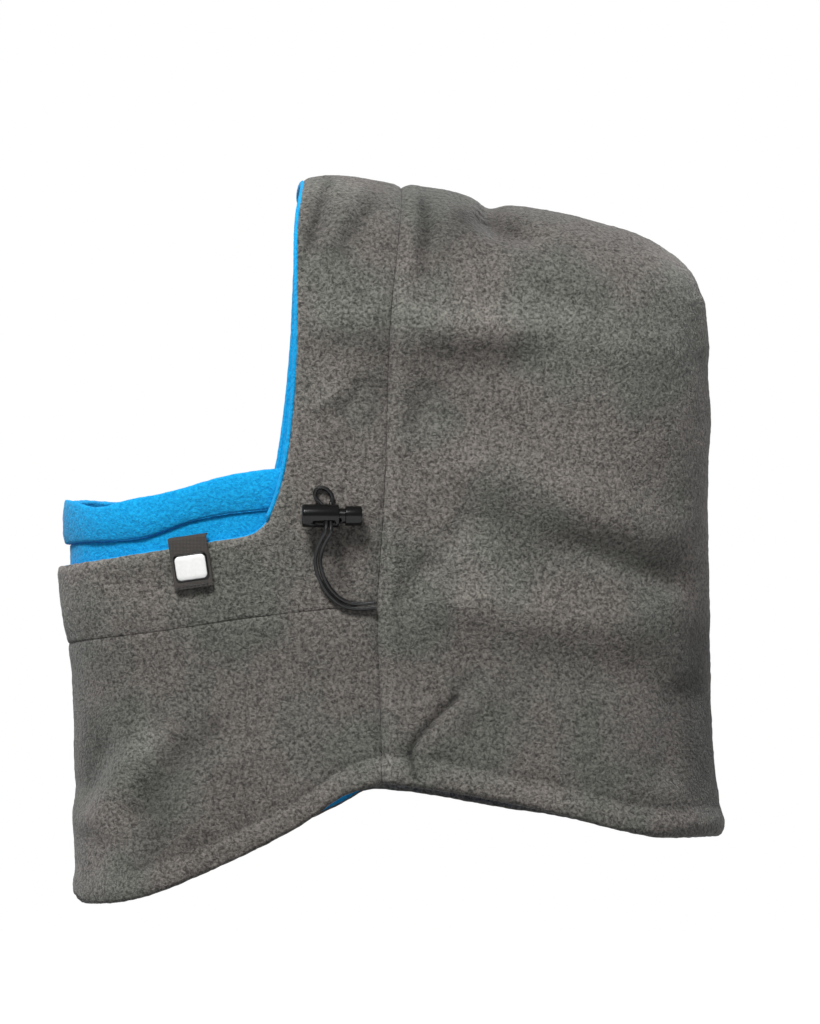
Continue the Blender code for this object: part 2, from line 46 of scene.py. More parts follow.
# Side-view outlines (x, z), as in the CAD
CROWN_FRONT = [(-0.1075, 0.1188), (-0.0919, 0.1210), (-0.0737, 0.1192), (-0.0535, 0.1161)]
CROWN_REAR = [
    (-0.0535, 0.1161),
    (-0.0340, 0.1145),
    (-0.0178, 0.1102),
    (-0.0065, 0.1046),
    (0.0050, 0.1050),
    (0.0405, 0.0999),
    (0.0778, 0.0875),
    (0.0960, 0.0770),
]
BACK = [
    (0.1183, -0.2360),
    (0.1205, -0.2306),
    (0.1170, -0.2050),
    (0.1134, -0.1534),
    (0.1131, -0.0540),
    (0.1131, 0.0000),
    (0.1112, 0.0373),
    (0.1085, 0.0583),
    (0.1040, 0.0690),
    (0.0960, 0.0770),
]
SIDE_SEAM_UPPER = [(-0.0698, -0.1121), (-0.0657, -0.0471), (-0.0628, 0.0395), (-0.0535, 0.1161)]
SIDE_SEAM_LOWER = [(-0.0679, -0.2075), (-0.0681, -0.1640), (-0.0698, -0.1121)]
REAR_HEM = [(-0.0679, -0.2075), (-0.0280, -0.2130), (0.0243, -0.2238), (0.0745, -0.2360), (0.1183, -0.2360)]
BIB_HEM = [
    (-0.2303, -0.2665),
    (-0.2256, -0.2711),
    (-0.2017, -0.2701),
    (-0.1582, -0.2538),
    (-0.1126, -0.2307),
    (-0.0883, -0.2140),
    (-0.0679, -0.2075),
]
BIB_FRONT = [
    (-0.2303, -0.2665),
    (-0.2290, -0.2510),
    (-0.2300, -0.2128),
    (-0.2302, -0.1620),
    (-0.2332, -0.1320),
]
MOUTH_FRONT = [(-0.2332, -0.1320), (-0.2364, -0.1183), (-0.2402, -0.0902)]
STITCH_LINE = [(-0.2332, -0.1320), (-0.1837, -0.1262), (-0.1382, -0.1195), (-0.0698, -0.1121)]
MOUTH_EDGE = [
    (-0.2402, -0.0902),
    (-0.2127, -0.0866),
    (-0.1612, -0.0785),
    (-0.1365, -0.0737),
    (-0.1288, -0.0669),
]
FACE_EDGE = [
    (-0.1288, -0.0669),
    (-0.1232, -0.0522),
    (-0.1185, -0.0306),
    (-0.1154, 0.0007),
    (-0.1143, 0.0282),
    (-0.1128, 0.0952),
    (-0.1075, 0.1188),
]
CHEEK_LINE = [(-0.1288, -0.0669), (-0.0698, -0.1121)]
MASK_TOP = [
    (-0.2414, -0.0525),
    (-0.1949, -0.0533),
    (-0.1464, -0.0415),
    (-0.1041, -0.0370),
    (-0.0802, -0.0361),
]
CUFF_FOOT = [
    (-0.2405, -0.0790),
    (-0.1974, -0.0771),
    (-0.1652, -0.0670),
    (-0.1139, -0.0610),
    (-0.0802, -0.0600),
]
MASK_FOOT = [(-0.2366, -0.1160), (-0.1600, -0.1120), (-0.0802, -0.1060)]

# Cloth layers
PANEL_THICKNESS = 0.0018
FACE_THICKNESS = 0.0024
LINING_DEPTH = 0.0030
LINING_THICKNESS = 0.0018
CUFF_DEPTH = 0.0064
CUFF_THICKNESS = 0.0046
MASK_DEPTH = 0.0080
MASK_THICKNESS = 0.0020
GRID = 0.0026

# Seams and hems: how far a panel's cloth runs on past a seam and how far it turns in there, on a seam along
# the centre plane and on one that laps under its neighbour; a hem's roll radius and the length turned up
CLOSED_SEAM = (0, 0.0034)
LAPPED_SEAM = (0.0024, 0.0012)
SEAM_GAP = 0.00012
LINING_LAP = 0.0004
REAR_HEM_TURN = (0.0024, 0.013)
BIB_HEM_TURN = {"left": (0.0022, 0.005), "right": (0.0014, 0.001)}

# The far side as it hangs: its face edge is set back towards the crown, its hem rides up at the back and its
# bib sags near the side seam
FAR_SET_BACK = 0.0062
FAR_HEM_RISE = 0.0045
FAR_BIB_SAG = 0.0066

# Drawcord and lock, as in the CAD
CORD_DIAMETER = 0.0022
STRAND_SPACING = 0.0026
CORD_CLEARANCE = 0.0011
CORD_ROUTE = [
    (-0.0711, 0.0000, -0.1123),
    (-0.0786, 0.0000, -0.1130),
    (-0.0852, 0.0000, -0.1124),
    (-0.0912, 0.0000, -0.1095),
    (-0.0964, 0.0008, -0.1042),
    (-0.1002, 0.0020, -0.0975),
    (-0.1023, 0.0060, -0.0900),
    (-0.1017, 0.0112, -0.0833),
    (-0.0994, 0.0146, -0.0776),
]
LOCK_X = -0.0971
LOCK_Z = -0.0649
LOCK_STANDOFF = 0.0098
HOLE_TILT = math.radians(50)
BARREL_RADIUS = 0.0062
STRAIGHT_STRETCH = 0.0036
LOCK_ENTRY = (-0.0006, -0.0006, -0.0032)
LOOP_SIDE = 0.0046
LOOP_LEAN = 0.30
LOOP_START = 0.0004
HOLE_LENGTH = 0.0056
HOLE_WIDTH = 0.0030
BARREL_FRONT = LOCK_X - 0.0139
BARREL_REAR = LOCK_X + 0.0058
BORE_RADIUS = 0.0044
PLUNGER_FRONT = LOCK_X - 0.0058
PLUNGER_RADIUS = 0.0041
HEAD_FRONT = LOCK_X + 0.0093
HEAD_REAR = LOCK_X + 0.0182
HEAD_RADIUS = 0.0053
PRESS_TRAVEL = 0.0030

# Label on the mouth edge, as in the CAD
LABEL_CENTRE = (-0.1695, -0.0893)
LABEL_WIDTH = 0.0210
LABEL_HEIGHT = 0.0275
LABEL_TILT = math.radians(-8)
LABEL_STANDOFF = 0.0011
PATCH_WIDTH = 0.0165
PATCH_HEIGHT = 0.0130
PATCH_DROP = 0.0026
PATCH_CORNER = 0.0024
TAB_LIFT = 0.0006
TAB_BEND = 0.0013
TAB_TUCK = 0.0062
TAB_THICKNESS = 0.0009

SIDES = {"left": -1.0, "right": 1.0}


# ---------------------------------------------------------------- curves and the hood form


def smooth(points, per_span=24):
    """A dense centripetal Catmull-Rom curve through the points."""
    p = np.array(points, float)
    p = np.vstack([2 * p[0] - p[1], p, 2 * p[-1] - p[-2]])
    curve = []
    for a, b, c, d in zip(p[:-3], p[1:-2], p[2:-1], p[3:]):
        t1 = np.linalg.norm(b - a) ** 0.5
        t2 = t1 + np.linalg.norm(c - b) ** 0.5
        t3 = t2 + np.linalg.norm(d - c) ** 0.5
        t = np.linspace(t1, t2, per_span, endpoint=False)[:, None]
        ab = a + (b - a) * t / t1
        bc = b + (c - b) * (t - t1) / (t2 - t1)
        cd = c + (d - c) * (t - t2) / (t3 - t2)
        abc = ab + (bc - ab) * t / t2
        bcd = bc + (cd - bc) * (t - t1) / (t3 - t1)
        curve.append(abc + (bcd - abc) * (t - t1) / (t2 - t1))
    return np.vstack(curve + [p[-2:-1]])


def along(curve, fractions):
    """Points of a dense curve at fractions of its length."""
    steps = np.linalg.norm(np.diff(curve, axis=0), axis=1)
    run = np.concatenate([[0], np.cumsum(steps)]) / steps.sum()
    return np.stack([np.interp(fractions, run, curve[:, k]) for k in range(curve.shape[1])], axis=1)


def length(curve):
    return float(np.linalg.norm(np.diff(curve, axis=0), axis=1).sum())


def even(count):
    return np.linspace(0, 1, count + 1)


def crowd_end(count):
    """Fractions that crowd towards 1, for a side that rounds over at its end."""
    return np.sin(np.linspace(0, math.pi / 2, count + 1))


def crowd_start(count):
    return 1 - crowd_end(count)[::-1]


OUTLINE_TOP = np.vstack([smooth(CROWN_FRONT), smooth(CROWN_REAR), smooth(BACK)[::-1]])
FRONT_LINE = np.vstack([smooth(BIB_FRONT), smooth(MOUTH_FRONT), [(-0.2414, -0.0500), (-0.2418, 0.2000)]])


def height_of_crown(x):
    rising = OUTLINE_TOP[: int(np.argmax(OUTLINE_TOP[:, 0])) + 1]
    return np.interp(x, np.maximum.accumulate(rising[:, 0]), rising[:, 1])


def reach_of_back(z):
    climbing = OUTLINE_TOP[::-1]
    return np.interp(z, np.maximum.accumulate(climbing[:, 1]), climbing[:, 0])


def reach_of_front(z):
    return np.interp(z, np.maximum.accumulate(FRONT_LINE[:, 1]), FRONT_LINE[:, 0])


def hump(value, centre, width):
    return np.exp(-(((value - centre) / width) ** 2))


def unit(vectors):
    return vectors / np.linalg.norm(vectors, axis=-1, keepdims=True)


def step_up(t):
    t = np.clip(t, 0, 1)
    return t * t * (3 - 2 * t)


def half_width(x, z):
    """Half width of the hood where no closed outline is near."""
    taper = 1 - FRONT_TAPER * step_up((-0.040 - x) / 0.190)
    pinch = 1 - NECK_PINCH * hump(z, -0.125, 0.060)
    flare = 1 + HEM_FLARE * step_up((-0.140 - z) / 0.110)
    return HALF_WIDTH * taper * pinch * flare


def inward_share(x, z):
    """0 on a closed outline, 1 where the form has finished rounding over, below 0 outside."""
    shares = np.stack([
        (height_of_crown(x) - z) / CROWN_DEPTH,
        (reach_of_back(z) - x) / BACK_DEPTH,
        (x - reach_of_front(z)) / FRONT_DEPTH,
    ])
    joint = np.sum(np.maximum(shares, 1e-5) ** -2.0, axis=0) ** -0.5
    return np.where(shares.min(axis=0) > 0, joint, shares.min(axis=0))


def form_height(x, z):
    """Distance of the hood form from the centre plane."""
    left_over = np.clip(1 - inward_share(x, z), 0, 1)
    return half_width(x, z) * (1 - left_over**ROUNDING_POWER) ** (1 / ROUNDING_POWER)


def form_value(x, y, z):
    left_over = np.maximum(1 - inward_share(x, z), 0)
    return (np.abs(y) / half_width(x, z)) ** ROUNDING_POWER + left_over**ROUNDING_POWER


def form_normals(points, side):
    """Outward unit normals of the form at points on it."""
    x, y, z = points.T
    y = side * np.maximum(side * y, 1e-5)
    h = 2e-4
    gradient = np.stack([
        form_value(x + h, y, z) - form_value(x - h, y, z),
        form_value(x, y + h, z) - form_value(x, y - h, z),
        form_value(x, y, z + h) - form_value(x, y, z - h),
    ], axis=1)
    return unit(gradient)


def on_form(x, z, side):
    return np.stack([x, side * form_height(x, z), z], axis=-1)


# ---------------------------------------------------------------- side-view grids of the panels


def coons(bottom, top, left, right, us, vs):
    """A grid of side-view points between four curves that meet at the corners."""
    low, high = along(bottom, us)[None], along(top, us)[None]
    start, end = along(left, vs)[:, None], along(right, vs)[:, None]
    u, v = us[None, :, None], vs[:, None, None]
    flat = (1 - v) * low + v * high + (1 - u) * start + u * end
    low_corners = (1 - u) * low[:, :1] + u * low[:, -1:]
    high_corners = (1 - u) * high[:, :1] + u * high[:, -1:]
    return flat - (1 - v) * low_corners - v * high_corners


def steps_for(curve):
    return max(4, round(length(curve) / GRID))


def face_grids():
    """The face panel's upright part and the band under the mouth, which meet at the cheek."""
    cheek = smooth(CHEEK_LINE)
    columns = steps_for(cheek)
    face = coons(cheek, smooth(CROWN_FRONT), smooth(FACE_EDGE), smooth(SIDE_SEAM_UPPER),
                 even(columns), crowd_end(round(1.3 * steps_for(smooth(SIDE_SEAM_UPPER)))))
    mouth = coons(smooth(STITCH_LINE), smooth(MOUTH_EDGE), smooth(MOUTH_FRONT), cheek[::-1],
                  crowd_start(round(1.25 * steps_for(smooth(STITCH_LINE)))), even(columns))
    return [face, mouth]


def bib_grid():
    columns = round(1.25 * steps_for(smooth(STITCH_LINE)))
    rows = round(1.2 * steps_for(smooth(SIDE_SEAM_LOWER)))
    return coons(smooth(BIB_HEM), smooth(STITCH_LINE), smooth(BIB_FRONT), smooth(SIDE_SEAM_LOWER),
                 crowd_start(columns), even(rows))


def rear_grid():
    seam = np.vstack([smooth(SIDE_SEAM_LOWER), smooth(SIDE_SEAM_UPPER)[1:]])
    columns = round(1.3 * steps_for(smooth(REAR_HEM)))
    rows = round(1.25 * steps_for(seam))
    return coons(smooth(REAR_HEM), smooth(CROWN_REAR), seam, smooth(BACK),
                 crowd_end(columns), crowd_end(rows))


def from_front(points, dz=0.0):
    """A side-view curve through the points, raised by dz, whose first point is put on the closed front."""
    raised = [(x, z + dz) for x, z in points]
    return smooth([(float(reach_of_front(raised[0][1])), raised[0][1])] + raised[1:])


def mask_grid(foot, top, rows):
    heights = np.linspace(foot[0][1], top[0][1], 12)
    front = np.stack([reach_of_front(heights), heights], axis=1)
    end = np.array([foot[-1], top[-1]])
    return coons(foot, top, front, end, crowd_start(round(1.3 * steps_for(foot))), even(rows))


# ---------------------------------------------------------------- relief of the cloth


def nearest(curve, x, z):
    """Distance of each side-view point from a dense curve, and how far along it the nearest point lies."""
    best = np.full(x.shape, 1e9)
    share = np.zeros(x.shape)
    for i, (cx, cz) in enumerate(curve):
        d = (x - cx) ** 2 + (z - cz) ** 2
        closer = d < best
        best = np.where(closer, d, best)
        share = np.where(closer, i / (len(curve) - 1), share)
    return np.sqrt(best), share


FOLD_STRENGTH = 1.15

# Soft folds of the cloth in mm: side-view route, half width and height (negative for a hollow)
FOLDS = [
    ([(-104, 38), (-66, 36)], 11, 2.2),
    ([(-62, 38), (-30, 35), (0, 34), (30, 32)], 12, 3.8),
    ([(-20, 36), (30, 33), (70, 30), (106, 22)], 12, 2.2),
    ([(-54, 20), (-20, 18), (20, 18)], 11, -2),
    ([(-50, -34), (-10, -44), (40, -60), (75, -72), (108, -78)], 15, 4),
    ([(10, -74), (50, -87), (80, -96), (108, -96)], 10, -3.6),
    ([(-58, -108), (-20, -114), (45, -124), (104, -124)], 13, 3.4),
    ([(0, -146), (50, -150), (100, -148)], 12, -1.4),
    ([(-50.4, -206), (-52.6, -190), (-41.8, -175.3), (-28.3, -161.8), (-10, -146)], 3.4, -2),
    ([(-40, -206), (-42, -190), (-32, -178), (-18, -164), (0, -150)], 7, 2.4),
    ([(-16, 104), (0, 91), (22, 86)], 7.5, -4.2),
    ([(-20, 70), (20, 66), (60, 58)], 12, 2),
    ([(-44, 106), (-44, 88), (-46, 66)], 4, -2.6),
    ([(-36, 108), (-36, 88), (-38, 66)], 5, 1.4),
    ([(-94, 118), (-99, 104), (-106, 82), (-108, 60)], 3.6, -2.6),
    ([(-72, 106), (-80, 92), (-92, 78)], 4.5, -2.4),
    ([(-84, 108), (-92, 90), (-98, 74)], 5, 1.6),
    ([(-72, 12), (-82, -4), (-94, -16)], 7, -2.6),
    ([(-88, 6), (-98, -4), (-106, -10)], 6, 1.4),
    ([(-40, 8), (-48, -8), (-55, -28)], 6, -2.2),
    ([(-42, -86), (-50, -100), (-58, -120)], 5, -2.2),
    ([(-30, -78), (-16, -86), (0, -90)], 14, 2),
    ([(-224, -240), (-210, -212), (-190, -180)], 8.5, 4.2),
    ([(-204, -236), (-184, -205), (-170, -180)], 8, -3.4),
    ([(-228, -220), (-220, -200), (-212, -180)], 7, -2.6),
    ([(-172, -248), (-156, -208), (-146, -180)], 13, 2.2),
    ([(86, -215), (90, -180), (96, -145)], 12, -3.4),
    ([(108, 60), (110, 40), (112, 18)], 6, 1.6),
    ([(-226, -108), (-180, -100), (-150, -98)], 10, -1.2),
]


# Narrow creases, given as the folds are, finer than the panels' grids
CREASES = [
    ([(-50.4, -206), (-52.6, -190), (-41.8, -175.3), (-28.3, -161.8), (-20, -150)], 1.9, -1.3),
    ([(-47.8, -206), (-49.4, -190.5), (-39, -176.8), (-25.6, -163.6), (-18, -152)], 2.4, 0.7),
    ([(-94, 117), (-99, 104), (-106, 82)], 2, -1),
]


def bell(curve, width, x, z):
    """1 on a dense curve, falling off over its half width."""
    return hump(nearest(curve, x, z)[0], 0, width)


def ridge(route, width, x, z):
    """1 on a route, falling off over its half width, both in mm, and the share of the route passed."""
    distance, share = nearest(smooth(np.array(route) / 1000, 10), x, z)
    return hump(distance * 1000, 0, width), share


def fold_relief(x, z):
    total = np.zeros(x.shape)
    for route, width, height in FOLDS:
        shape, share = ridge(route, width, x, z)
        ends = step_up(share / 0.25) * step_up((1 - share) / 0.25)
        total += FOLD_STRENGTH * height / 1000 * shape * ends
    return total


def soft_noise(points, scale, seed):
    """Smooth noise from -1 to 1 at each point, the same every run."""
    offset = Vector((seed * 7.3, seed * 3.1, seed * 5.7))
    flat = points.reshape(-1, 3)
    values = [noise.noise(Vector(p) * scale + offset) for p in flat.tolist()]
    return np.array(values).reshape(points.shape[:-1])


def shifted(points, dx, dz):
    return smooth([(x + dx, z + dz) for x, z in points])


SIDE_SEAM_CURVE = np.vstack([smooth(SIDE_SEAM_LOWER), smooth(SIDE_SEAM_UPPER)])
REAR_HEM_STITCH = shifted(REAR_HEM, 0, 0.0172)
BIB_HEM_STITCH = shifted(BIB_HEM[2:], 0.0010, 0.0160)

# Grooves, shoulders and soft edges along seams and hems: dense curve, half width and height
SEAM_RELIEF = [
    (SIDE_SEAM_CURVE, 0.0026, -0.0016),
    (smooth(STITCH_LINE), 0.0014, -0.0005),
    (SIDE_SEAM_CURVE + np.array([0.0055, 0]), 0.0034, 0.0010),
    (smooth(MOUTH_EDGE), 0.0024, -0.0016),
    (smooth(FACE_EDGE), 0.0022, -0.0014),
    (REAR_HEM_STITCH, 0.0020, -0.0012),
    (BIB_HEM_STITCH, 0.0020, -0.0012),
]

# Painted highlights along the puffed side seam, mouth, face and hem edges, and darker bands along the hem
# stitch lines: dense curve, half width and change of tone
PAINTED_EDGE_SHADING = [
    (SIDE_SEAM_CURVE + np.array([0.0050, 0]), 0.0030, 0.12),
    (smooth(MOUTH_EDGE), 0.0030, 0.20),
    (smooth(FACE_EDGE), 0.0026, 0.18),
    (shifted(REAR_HEM, 0, 0.0070), 0.0065, 0.22),
    (shifted(BIB_HEM[2:], 0, 0.0070), 0.0060, 0.18),
    (REAR_HEM_STITCH, 0.0014, -0.26),
    (BIB_HEM_STITCH, 0.0014, -0.20),
]

# Painted shade and painted light of the cloth's folds and creases, as darker and lighter patches: side-view
# route and half width in mm, and change of tone
PAINTED_FOLD_SHADING = [
    ([(-62, 24), (-30, 19), (0, 21)], 14, -0.32),
    ([(-106, 28), (-75, 26)], 9, -0.2),
    ([(-68, 4), (-74, -6), (-92, -22)], 9, -0.28),
    ([(-40, 6), (-48, -8), (-55, -28)], 6, -0.14),
    ([(-4, -66), (30, -76)], 10, -0.1),
    ([(-20, -88), (-10, -96)], 15, 0.34),
    ([(-52, 40), (0, 40), (30, 42)], 9, 0.12),
    ([(-158, -176), (-172, -190), (-186, -212), (-190, -232)], 8, -0.22),
    ([(-190, -182), (-204, -206), (-218, -230)], 8, 0.32),
    ([(-222, -176), (-222, -204)], 8, -0.18),
    ([(106, -130), (102, -160), (106, -205)], 12, -0.36),
    ([(-50.4, -204.5), (-52.6, -190), (-41.8, -175.3), (-28.3, -161.8)], 1.8, -0.6),
    ([(-28.3, -161.8), (-23.4, -153.2)], 4, -0.16),
    ([(-212, -232), (-216, -262)], 12, 0.24),
    ([(95, 75), (102, 45)], 14, 0.26),
    ([(-45, -2), (-10, -2)], 16, -0.13),
    ([(-42, 90), (-20, 92)], 14, -0.1),
    ([(98, 30), (102, 0), (106, -22)], 12, 0.22),
    ([(20, 27), (60, 27), (90, 24)], 10, 0.14),
    ([(-94, 118), (-99, 104), (-106, 82)], 3.4, -0.3),
    ([(-72, 106), (-80, 92), (-90, 78)], 4.5, -0.24),
    ([(-44, 106), (-44, 88), (-46, 66)], 4.5, -0.28),
    ([(-22, 97), (4, 90)], 8, -0.3),
    ([(-104, 113), (-85, 114)], 8, 0.3),
]


def painted_shading(x, z):
    """Painted shading over the side view: painted shade and light of the folds, painted highlights on hems
    and edges, and painted shade over the crown and towards the bottom.
    """
    tone = np.ones(x.shape)
    for route, width, amount in PAINTED_FOLD_SHADING:
        tone += amount * ridge(route, width, x, z)[0]
    for curve, width, amount in PAINTED_EDGE_SHADING:
        tone += amount * bell(curve, width, x, z)
    # Painted shade: darker over the crown and towards the bottom
    tone -= 0.30 * step_up((z - 0.045) / 0.045)
    tone -= 0.24 * step_up((-0.100 - z) / 0.040)
    return tone


def outer_relief(x, z, points):
    """Folds, seam grooves, hem stitching, puffed hems and the slow waviness of soft cloth."""
    total = fold_relief(x, z)
    for curve, width, height in SEAM_RELIEF:
        total += height * bell(curve, width, x, z)
    for hem in (smooth(REAR_HEM), smooth(BIB_HEM)):
        total += 0.0010 * hump(nearest(hem, x, z)[0], 0.0070, 0.0050)
    total += 0.0012 * soft_noise(points, 22.0, 1)
    total += 0.0005 * soft_noise(points, 70.0, 2)
    return total


# ---------------------------------------------------------------- meshes


def add_object(name, data):
    obj = bpy.data.objects.new(name, data)
    bpy.context.scene.collection.objects.link(obj)
    return obj


def modify(obj, name, kind, **settings):
    modifier = obj.modifiers.new(name, kind)
    for key, value in settings.items():
        setattr(modifier, key, value)


def grid_faces(rows, columns, first):
    index = first + np.arange(rows * columns).reshape(rows, columns)
    return np.stack([index[:-1, :-1], index[:-1, 1:], index[1:, 1:], index[1:, :-1]], axis=-1).reshape(-1, 4)


def mesh_object(name, blocks, merge=1e-5):
    """One object from blocks of grid points, with meeting edges merged and faces turned outwards."""
    verts, faces, first = [], [], 0
    for block in blocks:
        rows, columns = block.shape[:2]
        verts.append(block.reshape(-1, 3))
        faces.append(grid_faces(rows, columns, first))
        first += rows * columns
    mesh = bpy.data.meshes.new(name)
    mesh.from_pydata(np.vstack(verts).tolist(), [], np.vstack(faces).tolist())
    bm = bmesh.new()
    bm.from_mesh(mesh)
    bmesh.ops.remove_doubles(bm, verts=bm.verts, dist=merge)
    bmesh.ops.recalc_face_normals(bm, faces=bm.faces)
    bm.to_mesh(mesh)
    bm.free()
    mesh.shade_smooth()
    return add_object(name, mesh)


def face_outwards(obj):
    """Turns an open sheet's faces away from the head space."""
    mesh = obj.data
    centre = np.array([-0.06, 0.0, -0.06])
    score = 0.0
    for polygon in list(mesh.polygons)[:: max(1, len(mesh.polygons) // 200)]:
        score += float(np.dot(polygon.normal, np.array(polygon.center) - centre))
    if score < 0:
        mesh.flip_normals()


def sheet_piece(name, blocks, thickness, rounded_edges=True):
    """A cloth sheet whose outer face is the given grid, thickened inwards."""
    obj = mesh_object(name, blocks)
    face_outwards(obj)
    modify(obj, "thickness", "SOLIDIFY", thickness=thickness, offset=-1, use_rim=True)
    if rounded_edges:
        modify(obj, "rounding", "SUBSURF", levels=1, render_levels=1)
    return obj


def settle(obj):
    """Makes the object's modifiers part of its mesh."""
    mesh = bpy.data.meshes.new_from_object(obj.evaluated_get(bpy.context.evaluated_depsgraph_get()))
    obj.modifiers.clear()
    obj.data = mesh


def vertex_rows(mesh, group, name):
    """One row of three numbers for each vertex."""
    values = np.empty(len(mesh.vertices) * 3)
    group.foreach_get(name, values)
    return values.reshape(-1, 3)


def press_creases(obj):
    """Narrow creases pressed into the outer face of the cloth."""
    mesh = obj.data
    points = vertex_rows(mesh, mesh.vertices, "co")
    normals = vertex_rows(mesh, mesh.vertex_normals, "vector")
    out = form_normals(points, np.sign(points[:, 1]))
    faces_out = np.sum(normals * out, axis=1) > 0.3
    lift = np.zeros(len(points))
    for route, width, height in CREASES:
        shape, share = ridge(route, width, points[:, 0], points[:, 2])
        ends = step_up(share / 0.10) * step_up((1 - share) / 0.45)
        lift += height / 1000 * shape * ends
    points += out * (lift * faces_out)[:, None]
    mesh.vertices.foreach_set("co", points.ravel())
    mesh.update()


def store_painted_shading(obj):
    """Stores the painted shading on the mesh as its tone, for the fleece material."""
    mesh = obj.data
    points = vertex_rows(mesh, mesh.vertices, "co")
    tone = mesh.attributes.new("tone", "FLOAT", "POINT")
    tone.data.foreach_set("value", painted_shading(points[:, 0], points[:, 2]))


def add_nap(obj, strength=0.0007):
    """Clumps of nap in the surface itself, on top of the finer ones in the material."""
    clumps = bpy.data.textures.get("nap_clumps")
    if clumps is None:
        clumps = bpy.data.textures.new("nap_clumps", "CLOUDS")
        clumps.noise_scale = 0.0032
        clumps.noise_depth = 1
    modify(obj, "nap", "DISPLACE", texture=clumps, texture_coords="LOCAL", strength=strength, mid_level=0.5)


def closed_to_zero(points, edge, gap):
    """Puts the closed outline's border at a gap from the centre plane; below 0 it laps over."""
    where = {"right": (slice(None), -1), "left": (slice(None), 0), "top": (-1, slice(None))}[edge]
    points[where + (1,)] = np.sign(points[where + (1,)] + 1e-12) * gap
    return points


def ease(grid, side):
    """The far side's small differences in the side view; the near side stays as it is."""
    if side < 0:
        return grid
    x, z = grid[..., 0], grid[..., 1]
    towards_face = step_up((-0.065 - x) / 0.050)
    under_crown = step_up((height_of_crown(x) - z) / 0.020)
    set_back = FAR_SET_BACK * (0.3 + 0.7 * step_up((z + 0.060) / 0.150)) * towards_face * under_crown
    set_back *= step_up((z + 0.075) / 0.020)
    rise = FAR_HEM_RISE * hump(x, 0.058, 0.040) * step_up((-0.170 - z) / 0.060)
    sag = FAR_BIB_SAG * hump(x, -0.088, 0.018) * step_up((-0.165 - z) / 0.040)
    return np.stack([x + set_back, z + rise - sag], axis=-1)


def raised(grid, side, relief, depth=0.0, closed=(), gap=SEAM_GAP):
    """3-D points of a side-view grid on the form, raised by the relief."""
    grid = ease(grid, side)
    x, z = grid[..., 0], grid[..., 1]
    base = on_form(x, z, side)
    normals = form_normals(base.reshape(-1, 3), side).reshape(base.shape)
    lift = relief(x, z, base) if relief else np.zeros(x.shape)
    points = base + normals * (lift - depth)[..., None]
    for edge in closed:
        points = closed_to_zero(points, edge, gap)
    return points, normals


def panel(grid, side, **seams):
    """Points and normals of a grey panel, from its grid and the seams on its edges."""
    closed = [edge for edge, seam in seams.items() if seam == CLOSED_SEAM]
    points, normals = raised(grid, side, outer_relief, closed=closed)
    for edge, (beyond, inwards) in seams.items():
        points, normals = with_allowance(points, normals, edge, beyond, inwards)
    return points, normals


def with_allowance(points, normals, edge, beyond, inwards):
    """Adds a row or column past one edge that turns in at the seam, so that nothing shows through it."""
    axis = 0 if edge == "top" else 1
    first = edge == "left"
    border, inner = (0, 1) if first else (-1, -2)
    rim = np.take(points, [border], axis=axis)
    out = np.take(normals, [border], axis=axis)
    onwards = unit(rim - np.take(points, [inner], axis=axis))
    turned_in = rim + onwards * beyond - out * inwards
    if first:
        return np.concatenate([turned_in, points], axis=axis), np.concatenate([out, normals], axis=axis)
    return np.concatenate([points, turned_in], axis=axis), np.concatenate([normals, out], axis=axis)


def with_turned_hem(points, normals, radius, turn_up):
    """Adds rows under the first one that roll the hem inwards and run back up inside, and says how far up."""
    points = points.copy()
    down = points[0] - points[1]
    spacing = np.linalg.norm(down, axis=1)[:, None]
    points[0] -= down * np.minimum(radius / spacing, 0.9)
    down /= spacing
    centre = points[0] - normals[0] * radius
    roll = []
    for a in np.linspace(math.pi, 0, 8)[:-1]:
        roll.append(centre + radius * (normals[0] * math.cos(a) + down * math.sin(a)))
    inside = []
    reach = 0.0
    row = 1
    while reach < turn_up and row < len(points) - 1:
        reach = float(np.linalg.norm(points[row] - points[0], axis=1).mean())
        inside.append(points[row] - normals[row] * 2 * radius)
        row += 1
    return np.concatenate([np.array(inside[::-1]), np.array(roll), points]), row


# ---------------------------------------------------------------- materials


def material(name, colour, roughness, **inputs):
    """A new material, with its shader and node tree."""
    made = bpy.data.materials.new(name)
    made.use_nodes = True
    tree = made.node_tree
    shader = tree.nodes["Principled BSDF"]
    shader.inputs["Base Color"].default_value = (*colour, 1)
    shader.inputs["Roughness"].default_value = roughness
    for key, value in inputs.items():
        shader.inputs[key.replace("_", " ")].default_value = value
    return made, tree, shader


def node(tree, kind, links=(), **settings):
    """A node with its properties and input values set, and (input, output socket) links made."""
    made = tree.nodes.new(kind)
    for key, value in settings.items():
        if hasattr(made, key):
            setattr(made, key, value)
        else:
            made.inputs[key.replace("_", " ")].default_value = value
    for target, source in links:
        tree.links.new(source, made.inputs[target])
    return made


def place(tree):
    return node(tree, "ShaderNodeTexCoord").outputs["Object"]


